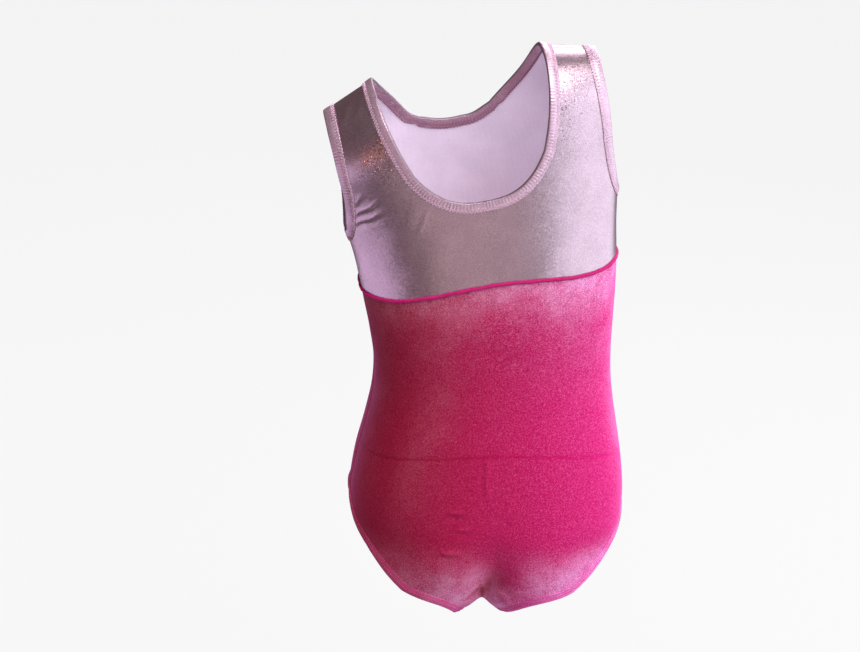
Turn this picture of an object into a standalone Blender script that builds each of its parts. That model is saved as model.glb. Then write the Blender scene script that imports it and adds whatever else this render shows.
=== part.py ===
"""A child's sleeveless gymnastics leotard, filled out as it is when worn.

The garment lies on a smooth body form. A point of the form has three coordinates:
  side   +1 on the back, -1 on the front
  angle  0 on the centre line, +-90 degrees on the side seams, + towards the wearer's left
  rise   distance up the profile, 0 on the crotch seam, RISE_TOP on the shoulder seams
Every panel, binding and seam is drawn with these, at a depth under the form's surface.
Metres, +Z up, back towards +Y, wearer's left towards +X, origin midway between the two
points where the neck edge crosses the shoulder seams.
"""

import math

import bmesh
import bpy
import numpy as np

MM = 0.001
QUARTER = math.pi / 2

# The body form: half width and half depths at these heights above the leg line's lowest point.
HEIGHTS = (0.0, 0.055, 0.111, 0.170, 0.229, 0.310, 0.374, 0.450, 0.515)
HALF_WIDTH = (0.1134, 0.1126, 0.1190, 0.1120, 0.1014, 0.1061, 0.1119, 0.1265, 0.1353)
BACK_DEPTH = (0.0852, 0.0799, 0.0838, 0.0754, 0.0620, 0.0593, 0.0564, 0.0580, 0.0608)
FRONT_DEPTH = (0.0500, 0.0622, 0.0745, 0.0798, 0.0791, 0.0756, 0.0760, 0.0700, 0.0508)
PARTING = (0.006, 0.006, 0.006, 0.004, 0.002, 0.0, 0.0, 0.002, 0.004)  # where the side seams lie in y
ROUNDNESS = 2.5  # superellipse exponent of a level section

RISE_TOP = 0.533
RISE_SHOULDER = 0.440  # above this the form closes over the shoulders
RISE_CROTCH = 0.085  # below this it closes under the crotch
SHOULDER_HEIGHT = 0.5077
CROTCH_HEIGHT = 0.020
SHOULDER_CLOSING = 2.2
CROTCH_CLOSING = {1: 2.0, -1: 1.7}
SHOULDER_SLOPE, LEFT_SLOPE_ADDED = 0.266, 0.13
SLOPE_FROM, SLOPE_OVER = 0.40, 0.09

LEAN_AT_HIPS = -0.062  # radians, + to the wearer's left
LEAN_ADDED = 0.273
LEAN_FROM, LEAN_OVER = 0.071, 0.430
LEAN_PIVOT = 0.140
LEAN_STATIONS = 1321

# The seat: its two lobes, the cleft between them, and the saddle and notch under the crotch.
LOBE_SWELL, LOBE_X, LOBE_HALF = 0.006, 0.052, 0.035
LOBE_HEIGHT, LOBE_TALL = 0.075, 0.045
CLEFT_DEPTH, CLEFT_HALF = 0.010, 0.018
CLEFT_HEIGHT, CLEFT_TALL = 0.055, 0.030
SADDLE_BEND, SADDLE_REACH = 9.0, 0.075
SADDLE_FROM, SADDLE_OVER = 0.02, 0.07
NOTCH_DROP, NOTCH_HALF = 0.0085, 0.0085
NOTCH_FROM, NOTCH_OVER = 0.012, 0.080
LEFT_SAG, SAG_X, SAG_HALF = 0.0025, 0.046, 0.025

# Edges and seams, as distances from the centre line or as rises.
NECK_X = 0.0686
SHOULDER_X = 0.1123
NECK_BOTTOM = {1: 0.4088, -1: 0.4316}
NECK_CURVE = {1: 2.50, -1: 2.32}
# How far the front neck edge is pulled up on the left (+1) and right, about which share, how widely.
NECK_PULL = {1: (-0.0035, 0.60, 0.10), -1: (0.0048, 0.68, 0.26)}
UNDERARM = 0.3842
ARMHOLE_CURVE = 2.3
YOKE_SEAM = 0.3305
YOKE_WAVE = (0.0035, 0.0020, -0.0019)  # its even dip, its ripple and its tilt
CROTCH_X = 0.021
LEG_SIDE = 0.1136
LEG_BACK_PULLS = ((0.0, 0.80), (0.35, 0.36))  # a Bezier's inner points, as shares of the way out and up

# Cloth and trim.
FOIL = 1.0 * MM
VELOUR = 1.4 * MM
PARTING_GAP = 0.2 * MM  # each half is moved this far off the parting line
CLEAR = 0.95 * MM
BINDING_LAYER = 0.8 * MM
BINDING_WIDTH = 9.0 * MM
PANEL_INSET = 4.6 * MM  # how far a panel's edge lies inside its binding's fold
ELASTIC = (1.8 * MM, 3.5 * MM)
ELASTIC_THICKNESS = 1.0 * MM
STITCH_INSET = 7.2 * MM
STITCH_WIDTH = 0.8 * MM
STITCH_THICKNESS = 0.4 * MM
STITCH_LIFT = 0.3 * MM
PIPING_RADIUS = 1.6 * MM
PIPING_DEPTH = -0.5 * MM
PIPING_ROOM = 2.0 * MM
SEAM_DEPTH = (-2.6 * MM, -3.4 * MM)
SEAM_WIDTH = 6.0 * MM
SEAM_END_CLEAR = 10.8 * MM  # seams stop short of the edges, clear of the bindings
SIDE_SEAM_TOP_CLEAR = 11.7 * MM
SIDE_SEAM_LOW_CLEAR = 13.5 * MM
YOKE_SEAM_REACH = QUARTER - 0.16
CROTCH_SEAM_DEPTH = (-2.5 * MM, -3.1 * MM)
LINING_DEPTH = (-3.4 * MM, -4.2 * MM)
LINING_RISE = {1: 0.040, -1: 0.075}
LINING_HALF_WIDTH, LINING_FLARE = 0.0085, 0.20
LABEL_HALF_WIDTH = 0.012
LABEL_DROP = (0.007, 0.035)
LABEL_DEPTH = (-3.2 * MM, -3.7 * MM)

# How finely the edges are drawn: stations on half of each edge, on one side of the garment.
NECK_STATIONS, ARM_STATIONS, LEG_STATIONS = 19, 13, 20
YOKE_ROWS = (0, 0.08, 0.2, 0.4, 0.65, 0.88, 1)
BODY_COLUMNS = (0, 0.14, 0.28, 0.42, 0.55, 0.67, 0.78, 0.87, 0.94, 1)


def spline(knots, values):
    """A natural cubic through the points, held level past its ends."""
    knots, values = np.array(knots), np.array(values)
    gaps = np.diff(knots)
    count = len(knots)
    matrix, right = np.eye(count), np.zeros(count)
    for i in range(1, count - 1):
        matrix[i, i - 1 : i + 2] = gaps[i - 1], 2 * (gaps[i - 1] + gaps[i]), gaps[i]
        right[i] = 6 * ((values[i + 1] - values[i]) / gaps[i] - (values[i] - values[i - 1]) / gaps[i - 1])
    bend = np.linalg.solve(matrix, right)

    def curve(at):
        at = np.clip(at, knots[0], knots[-1])
        i = np.clip(np.searchsorted(knots, at) - 1, 0, count - 2)
        step = knots[i + 1] - knots[i]
        a, b = (knots[i + 1] - at) / step, (at - knots[i]) / step
        cubic = ((a**3 - a) * bend[i] + (b**3 - b) * bend[i + 1]) * step**2 / 6
        return a * values[i] + b * values[i + 1] + cubic

    return curve


half_width = spline(HEIGHTS, HALF_WIDTH)
half_depth = {1: spline(HEIGHTS, BACK_DEPTH), -1: spline(HEIGHTS, FRONT_DEPTH)}
parting = spline(HEIGHTS, PARTING)


def smooth(x):
    x = np.clip(x, 0, 1)
    return x * x * (3 - 2 * x)


def bump(x, centre, width):
    return np.exp(-(((x - centre) / width) ** 2))


LEAN_HEIGHTS = np.linspace(-0.06, 0.60, LEAN_STATIONS)
LEAN = LEAN_AT_HIPS + LEAN_ADDED * smooth((LEAN_HEIGHTS - LEAN_FROM) / LEAN_OVER)
LEAN_STEP = LEAN_HEIGHTS[1] - LEAN_HEIGHTS[0]
SPINE_X = np.cumsum(np.sin(LEAN)) * LEAN_STEP
SPINE_Z = np.cumsum(np.cos(LEAN)) * LEAN_STEP
SPINE_X -= np.interp(LEAN_PIVOT, LEAN_HEIGHTS, SPINE_X)
SPINE_Z -= np.interp(LEAN_PIVOT, LEAN_HEIGHTS, SPINE_Z) - LEAN_PIVOT


def lean_over(x, y, height):
    """Bends the upright form sideways along its curved spine."""
    angle = np.interp(height, LEAN_HEIGHTS, LEAN)
    across = np.interp(height, LEAN_HEIGHTS, SPINE_X) + x * np.cos(angle)
    up = np.interp(height, LEAN_HEIGHTS, SPINE_Z) - x * np.sin(angle)
    return np.stack([across, y, up], axis=-1)


def height_and_closing(side, rise):
    """The height of a rise, and how much of the section's depth is left there."""
    top = np.clip((rise - RISE_SHOULDER) / (RISE_TOP - RISE_SHOULDER), 0, 1) * QUARTER
    low = np.clip((RISE_CROTCH - rise) / RISE_CROTCH, 0, 1) * QUARTER
    over, under = 2 / SHOULDER_CLOSING, 2 / CROTCH_CLOSING[side]
    height = np.where(
        rise > RISE_SHOULDER,
        RISE_SHOULDER + (SHOULDER_HEIGHT - RISE_SHOULDER) * np.sin(top) ** over,
        np.where(
            rise < RISE_CROTCH,
            RISE_CROTCH - (RISE_CROTCH - CROTCH_HEIGHT) * np.sin(low) ** under,
            rise,
        ),
    )
    return height, np.maximum(np.cos(top), 0) ** over * np.maximum(np.cos(low), 0) ** under


def form(side, angle, rise):
    """The point of the body form at these coordinates, still with its own origin."""
    height, closing = height_and_closing(side, np.clip(rise, 0, RISE_TOP))
    across = np.sin(angle)
    x = half_width(height) * across
    middle = parting(height)
    level = np.maximum(1 - np.abs(across) ** ROUNDNESS, 0) ** (1 / ROUNDNESS)
    depth = half_depth[side](height) - side * middle
    lobes = LOBE_SWELL * bump(np.abs(x), LOBE_X, LOBE_HALF) * bump(height, LOBE_HEIGHT, LOBE_TALL)
    cleft = CLEFT_DEPTH * bump(x, 0, CLEFT_HALF) * bump(height, CLEFT_HEIGHT, CLEFT_TALL)
    if side > 0:
        depth = depth + lobes - cleft
    y = middle + side * depth * closing * level
    drop = SHOULDER_SLOPE * (np.abs(x) - NECK_X) + LEFT_SLOPE_ADDED * np.maximum(x - NECK_X, 0)
    drop = drop * smooth((height - SLOPE_FROM) / SLOPE_OVER)
    notch = NOTCH_DROP * (1 - bump(x, 0, NOTCH_HALF)) * (1 - smooth((np.abs(x) - NOTCH_FROM) / NOTCH_OVER))
    sag = LEFT_SAG * bump(x, SAG_X, SAG_HALF)
    saddle = SADDLE_BEND * np.minimum(np.abs(x), SADDLE_REACH) ** 2 + notch + sag
    saddle = saddle * (1 - smooth((height - SADDLE_FROM) / SADDLE_OVER))
    return lean_over(x, y, height - drop - saddle)


def directions(side, angle, rise):
    """The form's two slopes at a point, and its outward normal."""
    turn, step = 0.004, 0.0004
    angle, rise = np.clip(angle, -QUARTER, QUARTER), np.clip(rise, 0, RISE_TOP)
    low, high = np.clip(angle - turn, -QUARTER, QUARTER), np.clip(angle + turn, -QUARTER, QUARTER)
    by_angle = (form(side, high, rise) - form(side, low, rise)) / (high - low)[..., None]
    low, high = np.clip(rise - step, 0, RISE_TOP), np.clip(rise + step, 0, RISE_TOP)
    by_rise = (form(side, angle, high) - form(side, angle, low)) / (high - low)[..., None]
    normal = side * np.cross(by_rise, by_angle)
    return by_angle, by_rise, normal / np.linalg.norm(normal, axis=-1, keepdims=True)


def angle_of(x, rise, side=1):
    """The angle of the point x from the centre line at this rise."""
    height, _ = height_and_closing(side, np.asarray(rise, float))
    return np.arcsin(np.clip(x / half_width(height), -1, 1))


ORIGIN = (
    form(1, angle_of(NECK_X, RISE_TOP), RISE_TOP) + form(1, -angle_of(NECK_X, RISE_TOP), RISE_TOP)
) / 2


def cloth(side, angle, rise, depth):
    """A point at a depth from the form's surface, negative inwards, in the part's frame."""
    angle, rise = np.broadcast_arrays(np.asarray(angle, float), np.asarray(rise, float))
    normal = directions(side, angle, rise)[2]
    return form(side, angle, rise) + normal * np.asarray(depth)[..., None] - ORIGIN


def neck_edge(hand):
    """One half of the neck edge, drawn on the left: share 0 at the shoulder, 1 at the centre."""
    pull, centre, width = NECK_PULL[hand]

    def edge(side, share):
        turn = share * QUARTER
        power = 2 / NECK_CURVE[side]
        x = NECK_X * np.maximum(np.cos(turn), 0) ** power
        rise = RISE_TOP - (RISE_TOP - NECK_BOTTOM[side]) * np.sin(turn) ** power
        if side < 0:
            rise = rise + pull * bump(share, centre, width) * smooth((1 - share) / 0.16)
        return angle_of(x, rise), rise

    return edge


def armhole_edge(side, share):
    """The left armhole's edge: share 0 at the underarm, 1 at the shoulder."""
    turn = share * QUARTER
    power = 2 / ARMHOLE_CURVE
    inwards = QUARTER - angle_of(SHOULDER_X, RISE_TOP)
    angle = QUARTER - inwards * np.sin(turn) ** power
    return angle, UNDERARM + (RISE_TOP - UNDERARM) * (1 - np.maximum(np.cos(turn), 0) ** power)


def leg_edge(side, share):
    """The left leg's edge: share 0 at the crotch seam, 1 at the side seam."""
    turn = share * QUARTER
    if side > 0:
        (x1, y1), (x2, y2) = LEG_BACK_PULLS
        near, far = 3 * (1 - share) ** 2 * share, 3 * (1 - share) * share**2
        out, up = near * x1 + far * x2 + share**3, near * y1 + far * y2 + share**3
    else:
        out, up = 1 - np.cos(turn), np.sin(turn)
    start = angle_of(CROTCH_X, 0)
    return start + (QUARTER - start) * out, LEG_SIDE * up


def yoke_seam(angle):
    even, ripple, tilt = YOKE_WAVE
    return YOKE_SEAM + even * np.cos(2 * angle) + ripple * np.cos(4 * angle) + tilt * np.sin(angle)


def evenly(side, edge, count):
    """Angle and rise at points spaced evenly along an edge, by length."""
    share = np.linspace(0, 1, 400)
    points = form(side, *edge(side, share))
    length = np.concatenate([[0], np.cumsum(np.linalg.norm(np.diff(points, axis=0), axis=1))])
    return edge(side, np.interp(np.linspace(0, length[-1], count), length, share))


class Line:
    """Stations along a line on the form, each with its own inward direction on the surface."""

    def __init__(self, stations, closed, turn):
        self.side, self.angle, self.rise = (np.array(column) for column in zip(*stations))
        self.closed = closed
        points = self.on_form(form)
        along = np.roll(points, -1, axis=0) - np.roll(points, 1, axis=0)
        if not closed:
            along[0], along[-1] = points[1] - points[0], points[-1] - points[-2]
        slopes = [directions(int(s), a, r) for s, a, r in zip(self.side, self.angle, self.rise)]
        self.inwards = []
        for way, (by_angle, by_rise, normal) in zip(along, slopes):
            aim = turn * np.cross(normal, way)
            aim = aim / np.linalg.norm(aim)
            move = np.linalg.lstsq(np.stack([by_angle, by_rise], axis=1), aim, rcond=None)[0]
            self.inwards.append(move)
        self.inwards = np.array(self.inwards)

    def on_form(self, surface, *more):
        rows = zip(self.side, self.angle, self.rise)
        return np.array([surface(int(s), np.float64(a), np.float64(r), *more) for s, a, r in rows])

    def moved(self, inset):
        """Angles and rises of the line moved inwards over the surface."""
        return self.angle + self.inwards[:, 0] * inset, self.rise + self.inwards[:, 1] * inset

    def at(self, inset, depth):
        angle, rise = self.moved(inset)
        rows = zip(self.side, angle, rise)
        return np.array([cloth(int(s), np.float64(a), np.float64(r), depth) for s, a, r in rows])

    def rings(self, section):
        """One ring of points for each station, from a section of (inset, depth) pairs."""
        return np.stack([self.at(inset, depth) for inset, depth in section], axis=1)


def loop(edge, count):
    """Stations round one opening on the left: along its back half, then its front half."""
    back = list(zip(*evenly(1, edge, count)))
    front = list(zip(*evenly(-1, edge, count)))
    return [(1, a, r) for a, r in back] + [(-1, a, r) for a, r in front[-2:0:-1]]


def mirrored(stations):
    return [(side, -angle, rise) for side, angle, rise in stations]


def neck_line():
    """The whole neck edge: left back, right back, right front, left front."""
    back = list(zip(*evenly(1, neck_edge(1), NECK_STATIONS)))
    left, right = (list(zip(*evenly(-1, neck_edge(hand), NECK_STATIONS))) for hand in (1, -1))
    stations = [(1, a, r) for a, r in back]
    stations += [(1, -a, r) for a, r in back[-2::-1]]
    stations += [(-1, -a, r) for a, r in right[1:]]
    stations += [(-1, a, r) for a, r in left[-2:0:-1]]
    return Line(stations, closed=True, turn=-1)


def opening_line(edge, hand):
    """The edge of an armhole or a leg, on the wearer's left (+1) or right (-1)."""
    stations = loop(edge, ARM_STATIONS if edge is armhole_edge else LEG_STATIONS)
    return Line(stations if hand > 0 else mirrored(stations), closed=True, turn=-hand)


def half_edge(line, side, hand, count, inset, start=0, step=None):
    """Angle and rise along one half of a closed line, moved inwards: the back or the front half."""
    step = side if step is None else step
    picks = (start + step * np.arange(count)) % len(line.side)
    angle, rise = line.moved(inset)
    return np.clip(hand * angle[picks], 0, QUARTER), np.clip(rise[picks], 0, RISE_TOP)


def make_material(name, colour, roughness, metallic=0.0, sheen=0.0):
    material = bpy.data.materials.new(name)
    material.use_nodes = True
    shader = material.node_tree.nodes["Principled BSDF"]
    shader.inputs["Base Color"].default_value = (*colour, 1)
    shader.inputs["Roughness"].default_value = roughness
    shader.inputs["Metallic"].default_value = metallic
    shader.inputs["Sheen Weight"].default_value = sheen
    return material


def add_object(name, vertices, faces, material):
    mesh = bpy.data.meshes.new(name)
    mesh.from_pydata([tuple(v) for v in vertices], [], faces)
    shape = bmesh.new()
    shape.from_mesh(mesh)
    bmesh.ops.recalc_face_normals(shape, faces=shape.faces)
    shape.to_mesh(mesh)
    shape.free()
    mesh.shade_smooth()
    mesh.set_sharp_from_angle(angle=math.radians(40))
    mesh.materials.append(material)
    made = bpy.data.objects.new(name, mesh)
    bpy.context.scene.collection.objects.link(made)
    return made


def add_slab(name, outer, inner, material):
    """A closed sheet between two grids of points of the same size."""
    rows, columns = outer.shape[:2]
    count = rows * columns
    index = np.arange(count).reshape(rows, columns)
    cells = [
        (index[i, j], index[i, j + 1], index[i + 1, j + 1], index[i + 1, j])
        for i in range(rows - 1)
        for j in range(columns - 1)
    ]
    border = [*index[0, :-1], *index[:-1, -1], *index[-1, :0:-1], *index[:0:-1, 0]]
    faces = cells + [tuple(count + corner for corner in reversed(cell)) for cell in cells]
    for here, there in zip(border, border[1:] + border[:1]):
        faces.append((there, here, count + here, count + there))
    faces = [tuple(int(corner) for corner in face) for face in faces]
    vertices = np.concatenate([outer.reshape(-1, 3), inner.reshape(-1, 3)])
    return add_object(name, vertices, faces, material)


def add_sweep(name, rings, closed, material):
    """A closed tube through rings of points, joined end to end or capped."""
    count, size = rings.shape[:2]
    last = count if closed else count - 1
    faces = []
    for i in range(last):
        for j in range(size):
            here, there = i * size, (i + 1) % count * size
            k = (j + 1) % size
            faces.append((here + j, here + k, there + k, there + j))
    if not closed:
        faces += [tuple(range(size)), tuple(range((count - 1) * size, count * size))[::-1]]
    return add_object(name, rings.reshape(-1, 3), faces, material)


def parted(points, side):
    """Moves one half of the garment off the parting line."""
    return points + np.array([0, side * PARTING_GAP, 0])


def add_panel(name, side, angle, rise, thickness, material):
    outer = parted(cloth(side, angle, rise, 0.0), side)
    inner = parted(cloth(side, angle, rise, -thickness), side)
    return add_slab(name, outer, inner, material)


def yoke_half(side, hand):
    """Angle and rise grids of one half of a yoke, from the centre line out to the shoulder."""
    at_seam, at_side = 9, 3
    neck_shares = (0.40, 0.55)
    shoulder = 0 if hand > 0 else 2 * (NECK_STATIONS - 1)
    neck = half_edge(
        neck_line(), side, hand, NECK_STATIONS, PANEL_INSET, start=shoulder, step=side * hand
    )
    arm = half_edge(opening_line(armhole_edge, hand), side, hand, ARM_STATIONS, PANEL_INSET)
    seam_angle = np.linspace(0, QUARTER, at_seam)
    seam_rise = yoke_seam(hand * seam_angle) + PIPING_ROOM
    side_rise = np.linspace(seam_rise[-1], arm[1][0], at_side)
    outer_angle = np.concatenate([seam_angle, np.full(at_side - 1, QUARTER), arm[0][1:]])
    outer_rise = np.concatenate([seam_rise, side_rise[1:], arm[1][1:]])
    shares = np.concatenate(
        [
            np.linspace(0, neck_shares[0], at_seam),
            np.linspace(*neck_shares, at_side)[1:],
            np.linspace(neck_shares[1], 1, ARM_STATIONS)[1:],
        ]
    )
    along = np.linspace(0, 1, NECK_STATIONS)
    neck_angle = np.interp(shares, along, neck[0][::-1])
    neck_rise = np.interp(shares, along, neck[1][::-1])
    out = np.array(YOKE_ROWS)[:, None]
    fall = 1 - (1 - out) ** 2  # level near the armhole, which the straight way would cut across
    angle = neck_angle * (1 - out) + outer_angle * out
    return hand * angle, neck_rise * (1 - fall) + outer_rise * fall


def add_yoke(name, side, material):
    left, right = yoke_half(side, 1), yoke_half(side, -1)
    angle = np.concatenate([left[0][:, :0:-1], right[0]], axis=1)
    rise = np.concatenate([left[1][:, :0:-1], right[1]], axis=1)
    add_panel(name, side, angle, rise, FOIL, material)


def body_grid(side):
    """Angle and rise grids of a body panel, rows from the crotch seam up to the yoke seam."""
    upper_rows = 10
    left, right = (
        half_edge(opening_line(leg_edge, hand), side, hand, LEG_STATIONS, PANEL_INSET)
        for hand in (1, -1)
    )
    corner = (left[1][-1] + right[1][-1]) / 2
    left[1][-1] = right[1][-1] = corner
    out = np.array(BODY_COLUMNS)
    across = np.concatenate([-out[:0:-1], out])
    edge_angle = np.where(across < 0, right[0][:, None], left[0][:, None])
    edge_rise = np.where(across < 0, right[1][:, None], left[1][:, None])
    centre = np.linspace(0, corner, LEG_STATIONS)[:, None]
    angle = across * edge_angle
    rise = centre + (edge_rise - centre) * across**2
    level = np.linspace(corner, YOKE_SEAM, upper_rows)[1:, None]
    upper_angle = np.broadcast_to(across * QUARTER, (upper_rows - 1, len(across)))
    share = (level - corner) / (YOKE_SEAM - corner)
    upper_rise = level + share**3 * (yoke_seam(upper_angle) - YOKE_SEAM - PIPING_ROOM)
    return np.concatenate([angle, upper_angle]), np.concatenate([rise, upper_rise])


def add_body(name, side, material):
    angle, rise = body_grid(side)
    add_panel(name, side, angle, rise, VELOUR, material)


def binding_section(thickness):
    """A strip folded round an edge: (inset, depth) pairs round a narrow U."""
    top = CLEAR + BINDING_LAYER
    low = -thickness - CLEAR - BINDING_LAYER
    middle, half = (top + low) / 2, (top - low) / 2
    fold = [math.radians(a) for a in (90, 135, 180, 225, 270)]
    outside = [(half + half * math.cos(a), middle + half * math.sin(a)) for a in fold]
    small = half - BINDING_LAYER
    inside = [(half + small * math.cos(a), middle + small * math.sin(a)) for a in reversed(fold)]
    return [(BINDING_WIDTH, top), *outside, (BINDING_WIDTH, low), (BINDING_WIDTH, low + BINDING_LAYER)] + [
        *inside,
        (BINDING_WIDTH, top - BINDING_LAYER),
    ]


def rectangle(insets, depths):
    return [(insets[0], depths[0]), (insets[1], depths[0]), (insets[1], depths[1]), (insets[0], depths[1])]


def add_edge_trim(place, line, thickness, words, materials):
    """The binding, the elastic in its fold and the topstitching of one opening."""
    band, thread, elastic = materials
    add_sweep(words.format("binding"), line.rings(binding_section(thickness)), True, band)
    middle = -thickness / 2
    core = rectangle(ELASTIC, (middle + ELASTIC_THICKNESS / 2, middle - ELASTIC_THICKNESS / 2))
    add_sweep(words.format("elastic"), line.rings(core), True, elastic)
    low = CLEAR + BINDING_LAYER + STITCH_LIFT
    stitch = rectangle(
        (STITCH_INSET, STITCH_INSET + STITCH_WIDTH),
        (low + STITCH_THICKNESS, low),
    )
    add_sweep(words.format("topstitch"), line.rings(stitch), True, thread)


def ring_line(count):
    """The yoke seam, right round the body."""
    turn = np.linspace(-QUARTER, QUARTER, count)
    back = [(1, a, yoke_seam(a)) for a in turn]
    front = [(-1, a, yoke_seam(a)) for a in turn[-2:0:-1]]
    return Line(back + front, closed=True, turn=1)


def circle(radius, depth, sides):
    turns = np.arange(sides) * 2 * math.pi / sides
    return [(radius * math.cos(a), depth + radius * math.sin(a)) for a in turns]


def add_strip(name, stations, depths, width, material):
    """An overlocked seam allowance lying on the inside."""
    line = Line(stations, closed=False, turn=1)
    section = rectangle((-width / 2, width / 2), depths)
    add_sweep(name, line.rings(section), False, material)


def add_straight_seam(name, angle, rise, depths, material):
    """A seam allowance along the parting line, spread to the front and the back of it."""
    outer, inner = (cloth(1, angle, rise, depth) for depth in depths)
    half = np.array([0, SEAM_WIDTH / 2, 0])
    rings = np.stack([outer + half, outer - half, inner - half, inner + half], axis=1)
    add_sweep(name, rings, False, material)


def add_side_and_shoulder_seam(word, hand, materials):
    rise = np.linspace(UNDERARM - SIDE_SEAM_TOP_CLEAR, LEG_SIDE + SIDE_SEAM_LOW_CLEAR, 14)
    angle = np.full_like(rise, hand * QUARTER)
    add_straight_seam(f"side_seam_{word}", angle, rise, SEAM_DEPTH, materials[0])
    x = np.linspace(NECK_X + SEAM_END_CLEAR, SHOULDER_X - SEAM_END_CLEAR, 4)
    rise = np.full_like(x, RISE_TOP)
    add_straight_seam(f"shoulder_seam_{word}", hand * angle_of(x, rise), rise, SEAM_DEPTH, materials[1])


def add_crotch_seam(name, material):
    x = np.linspace(-1, 1, 6) * (CROTCH_X - SEAM_END_CLEAR)
    rise = np.zeros_like(x)
    add_straight_seam(name, angle_of(x, rise), rise, CROTCH_SEAM_DEPTH, material)


def add_lining(name, material):
    """One piece across the crotch seam, wider towards its ends."""
    columns = 7
    across = np.linspace(-1, 1, columns)
    grids = {"outer": [], "inner": []}
    for side, rows in ((1, 6), (-1, 9)):
        rises = np.linspace(LINING_RISE[side], 0, rows)
        if side < 0:
            rises = rises[::-1][1:]
        for rise in rises:
            half = LINING_HALF_WIDTH + LINING_FLARE * rise
            angle = angle_of(across * half, np.full(columns, rise))
            for key, depth in zip(grids, LINING_DEPTH):
                grids[key].append(cloth(side, angle, np.full(columns, rise), depth))
    add_slab(name, np.array(grids["outer"]), np.array(grids["inner"]), material)


def add_label(name, material):
    rises = NECK_BOTTOM[1] - np.linspace(*LABEL_DROP, 5)
    x = np.linspace(-1, 1, 4) * LABEL_HALF_WIDTH
    rise, across = np.meshgrid(rises, x, indexing="ij")
    angle = angle_of(across, rise)
    outer, inner = (cloth(1, angle, rise, depth) for depth in LABEL_DEPTH)
    add_slab(name, outer, inner, material)


def clear_scene():
    for existing in list(bpy.data.objects):
        bpy.data.objects.remove(existing, do_unlink=True)


def build():
    clear_scene()
    foil = make_material("foil_knit", (0.50, 0.33, 0.38), 0.38, metallic=0.7)
    velour = make_material("velour", (0.55, 0.02, 0.17), 0.85, sheen=0.6)
    lining = make_material("lining_knit", (0.70, 0.52, 0.66), 0.9)
    elastic = make_material("elastic", (0.85, 0.83, 0.82), 0.8)
    mauve_thread = make_material("mauve_thread", (0.62, 0.40, 0.50), 0.6)
    pink_thread = make_material("pink_thread", (0.60, 0.03, 0.20), 0.6)
    paper = make_material("label_satin", (0.90, 0.89, 0.87), 0.5)

    for word, side in (("back", 1), ("front", -1)):
        add_yoke(f"{word}_yoke", side, foil)
        add_body(f"{word}_body", side, velour)
    add_edge_trim("neck", neck_line(), FOIL, "neck_{}", (foil, mauve_thread, elastic))
    for word, hand in (("left", 1), ("right", -1)):
        arm = opening_line(armhole_edge, hand)
        add_edge_trim("armhole", arm, FOIL, "armhole_{}_" + word, (foil, mauve_thread, elastic))
        leg = opening_line(leg_edge, hand)
        add_edge_trim("leg", leg, VELOUR, "leg_{}_" + word, (velour, pink_thread, elastic))
        add_side_and_shoulder_seam(word, hand, (pink_thread, mauve_thread))
    add_sweep("yoke_piping", ring_line(25).rings(circle(PIPING_RADIUS, PIPING_DEPTH, 8)), True, velour)
    reach = np.linspace(-1, 1, 16) * YOKE_SEAM_REACH
    for word, side in (("back", 1), ("front", -1)):
        stations = [(side, angle, yoke_seam(angle)) for angle in reach]
        add_strip(f"yoke_seam_{word}", stations, SEAM_DEPTH, SEAM_WIDTH, pink_thread)
    add_crotch_seam("crotch_seam", pink_thread)
    add_lining("gusset_lining", lining)
    add_label("size_label", paper)


build()
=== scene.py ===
"""The looks of a child's sleeveless gymnastics leotard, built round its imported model.

The garment keeps the body form that its parts were drawn on. A point of the form has three
coordinates:
  side   +1 on the back, -1 on the front
  angle  0 on the centre line, +-90 degrees on the side seams, + towards the wearer's left
  rise   distance up the profile, 0 on the crotch seam, RISE_TOP on the shoulder seams
Metres, +Z up, back towards +Y, wearer's left towards +X.
"""

import math

import bpy
import numpy as np
from mathutils import Matrix, Vector


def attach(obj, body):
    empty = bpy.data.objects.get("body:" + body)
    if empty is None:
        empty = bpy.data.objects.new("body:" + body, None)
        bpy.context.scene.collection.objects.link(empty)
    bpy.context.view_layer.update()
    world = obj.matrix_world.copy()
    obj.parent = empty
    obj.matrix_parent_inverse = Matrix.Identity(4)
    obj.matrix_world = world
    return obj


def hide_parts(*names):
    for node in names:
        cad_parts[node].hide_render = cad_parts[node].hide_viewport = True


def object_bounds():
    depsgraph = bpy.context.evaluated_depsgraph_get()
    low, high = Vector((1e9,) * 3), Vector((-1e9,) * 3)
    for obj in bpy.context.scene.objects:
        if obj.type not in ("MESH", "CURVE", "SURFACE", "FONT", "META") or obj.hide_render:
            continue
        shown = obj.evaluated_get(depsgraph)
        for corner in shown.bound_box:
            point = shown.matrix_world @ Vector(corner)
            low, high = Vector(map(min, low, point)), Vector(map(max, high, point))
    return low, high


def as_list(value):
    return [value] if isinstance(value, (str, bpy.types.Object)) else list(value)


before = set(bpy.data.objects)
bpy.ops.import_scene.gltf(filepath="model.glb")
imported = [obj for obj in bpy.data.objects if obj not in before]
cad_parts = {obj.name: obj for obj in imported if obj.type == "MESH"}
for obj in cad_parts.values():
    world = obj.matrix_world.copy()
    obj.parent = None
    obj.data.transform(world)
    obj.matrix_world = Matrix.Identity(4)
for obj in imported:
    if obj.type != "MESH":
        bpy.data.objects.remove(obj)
CAD_LOW, CAD_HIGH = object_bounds()

MM = 0.001
QUARTER = math.pi / 2
SIDES = (("back", 1), ("front", -1))
HANDS = (("left", 1), ("right", -1))

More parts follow.
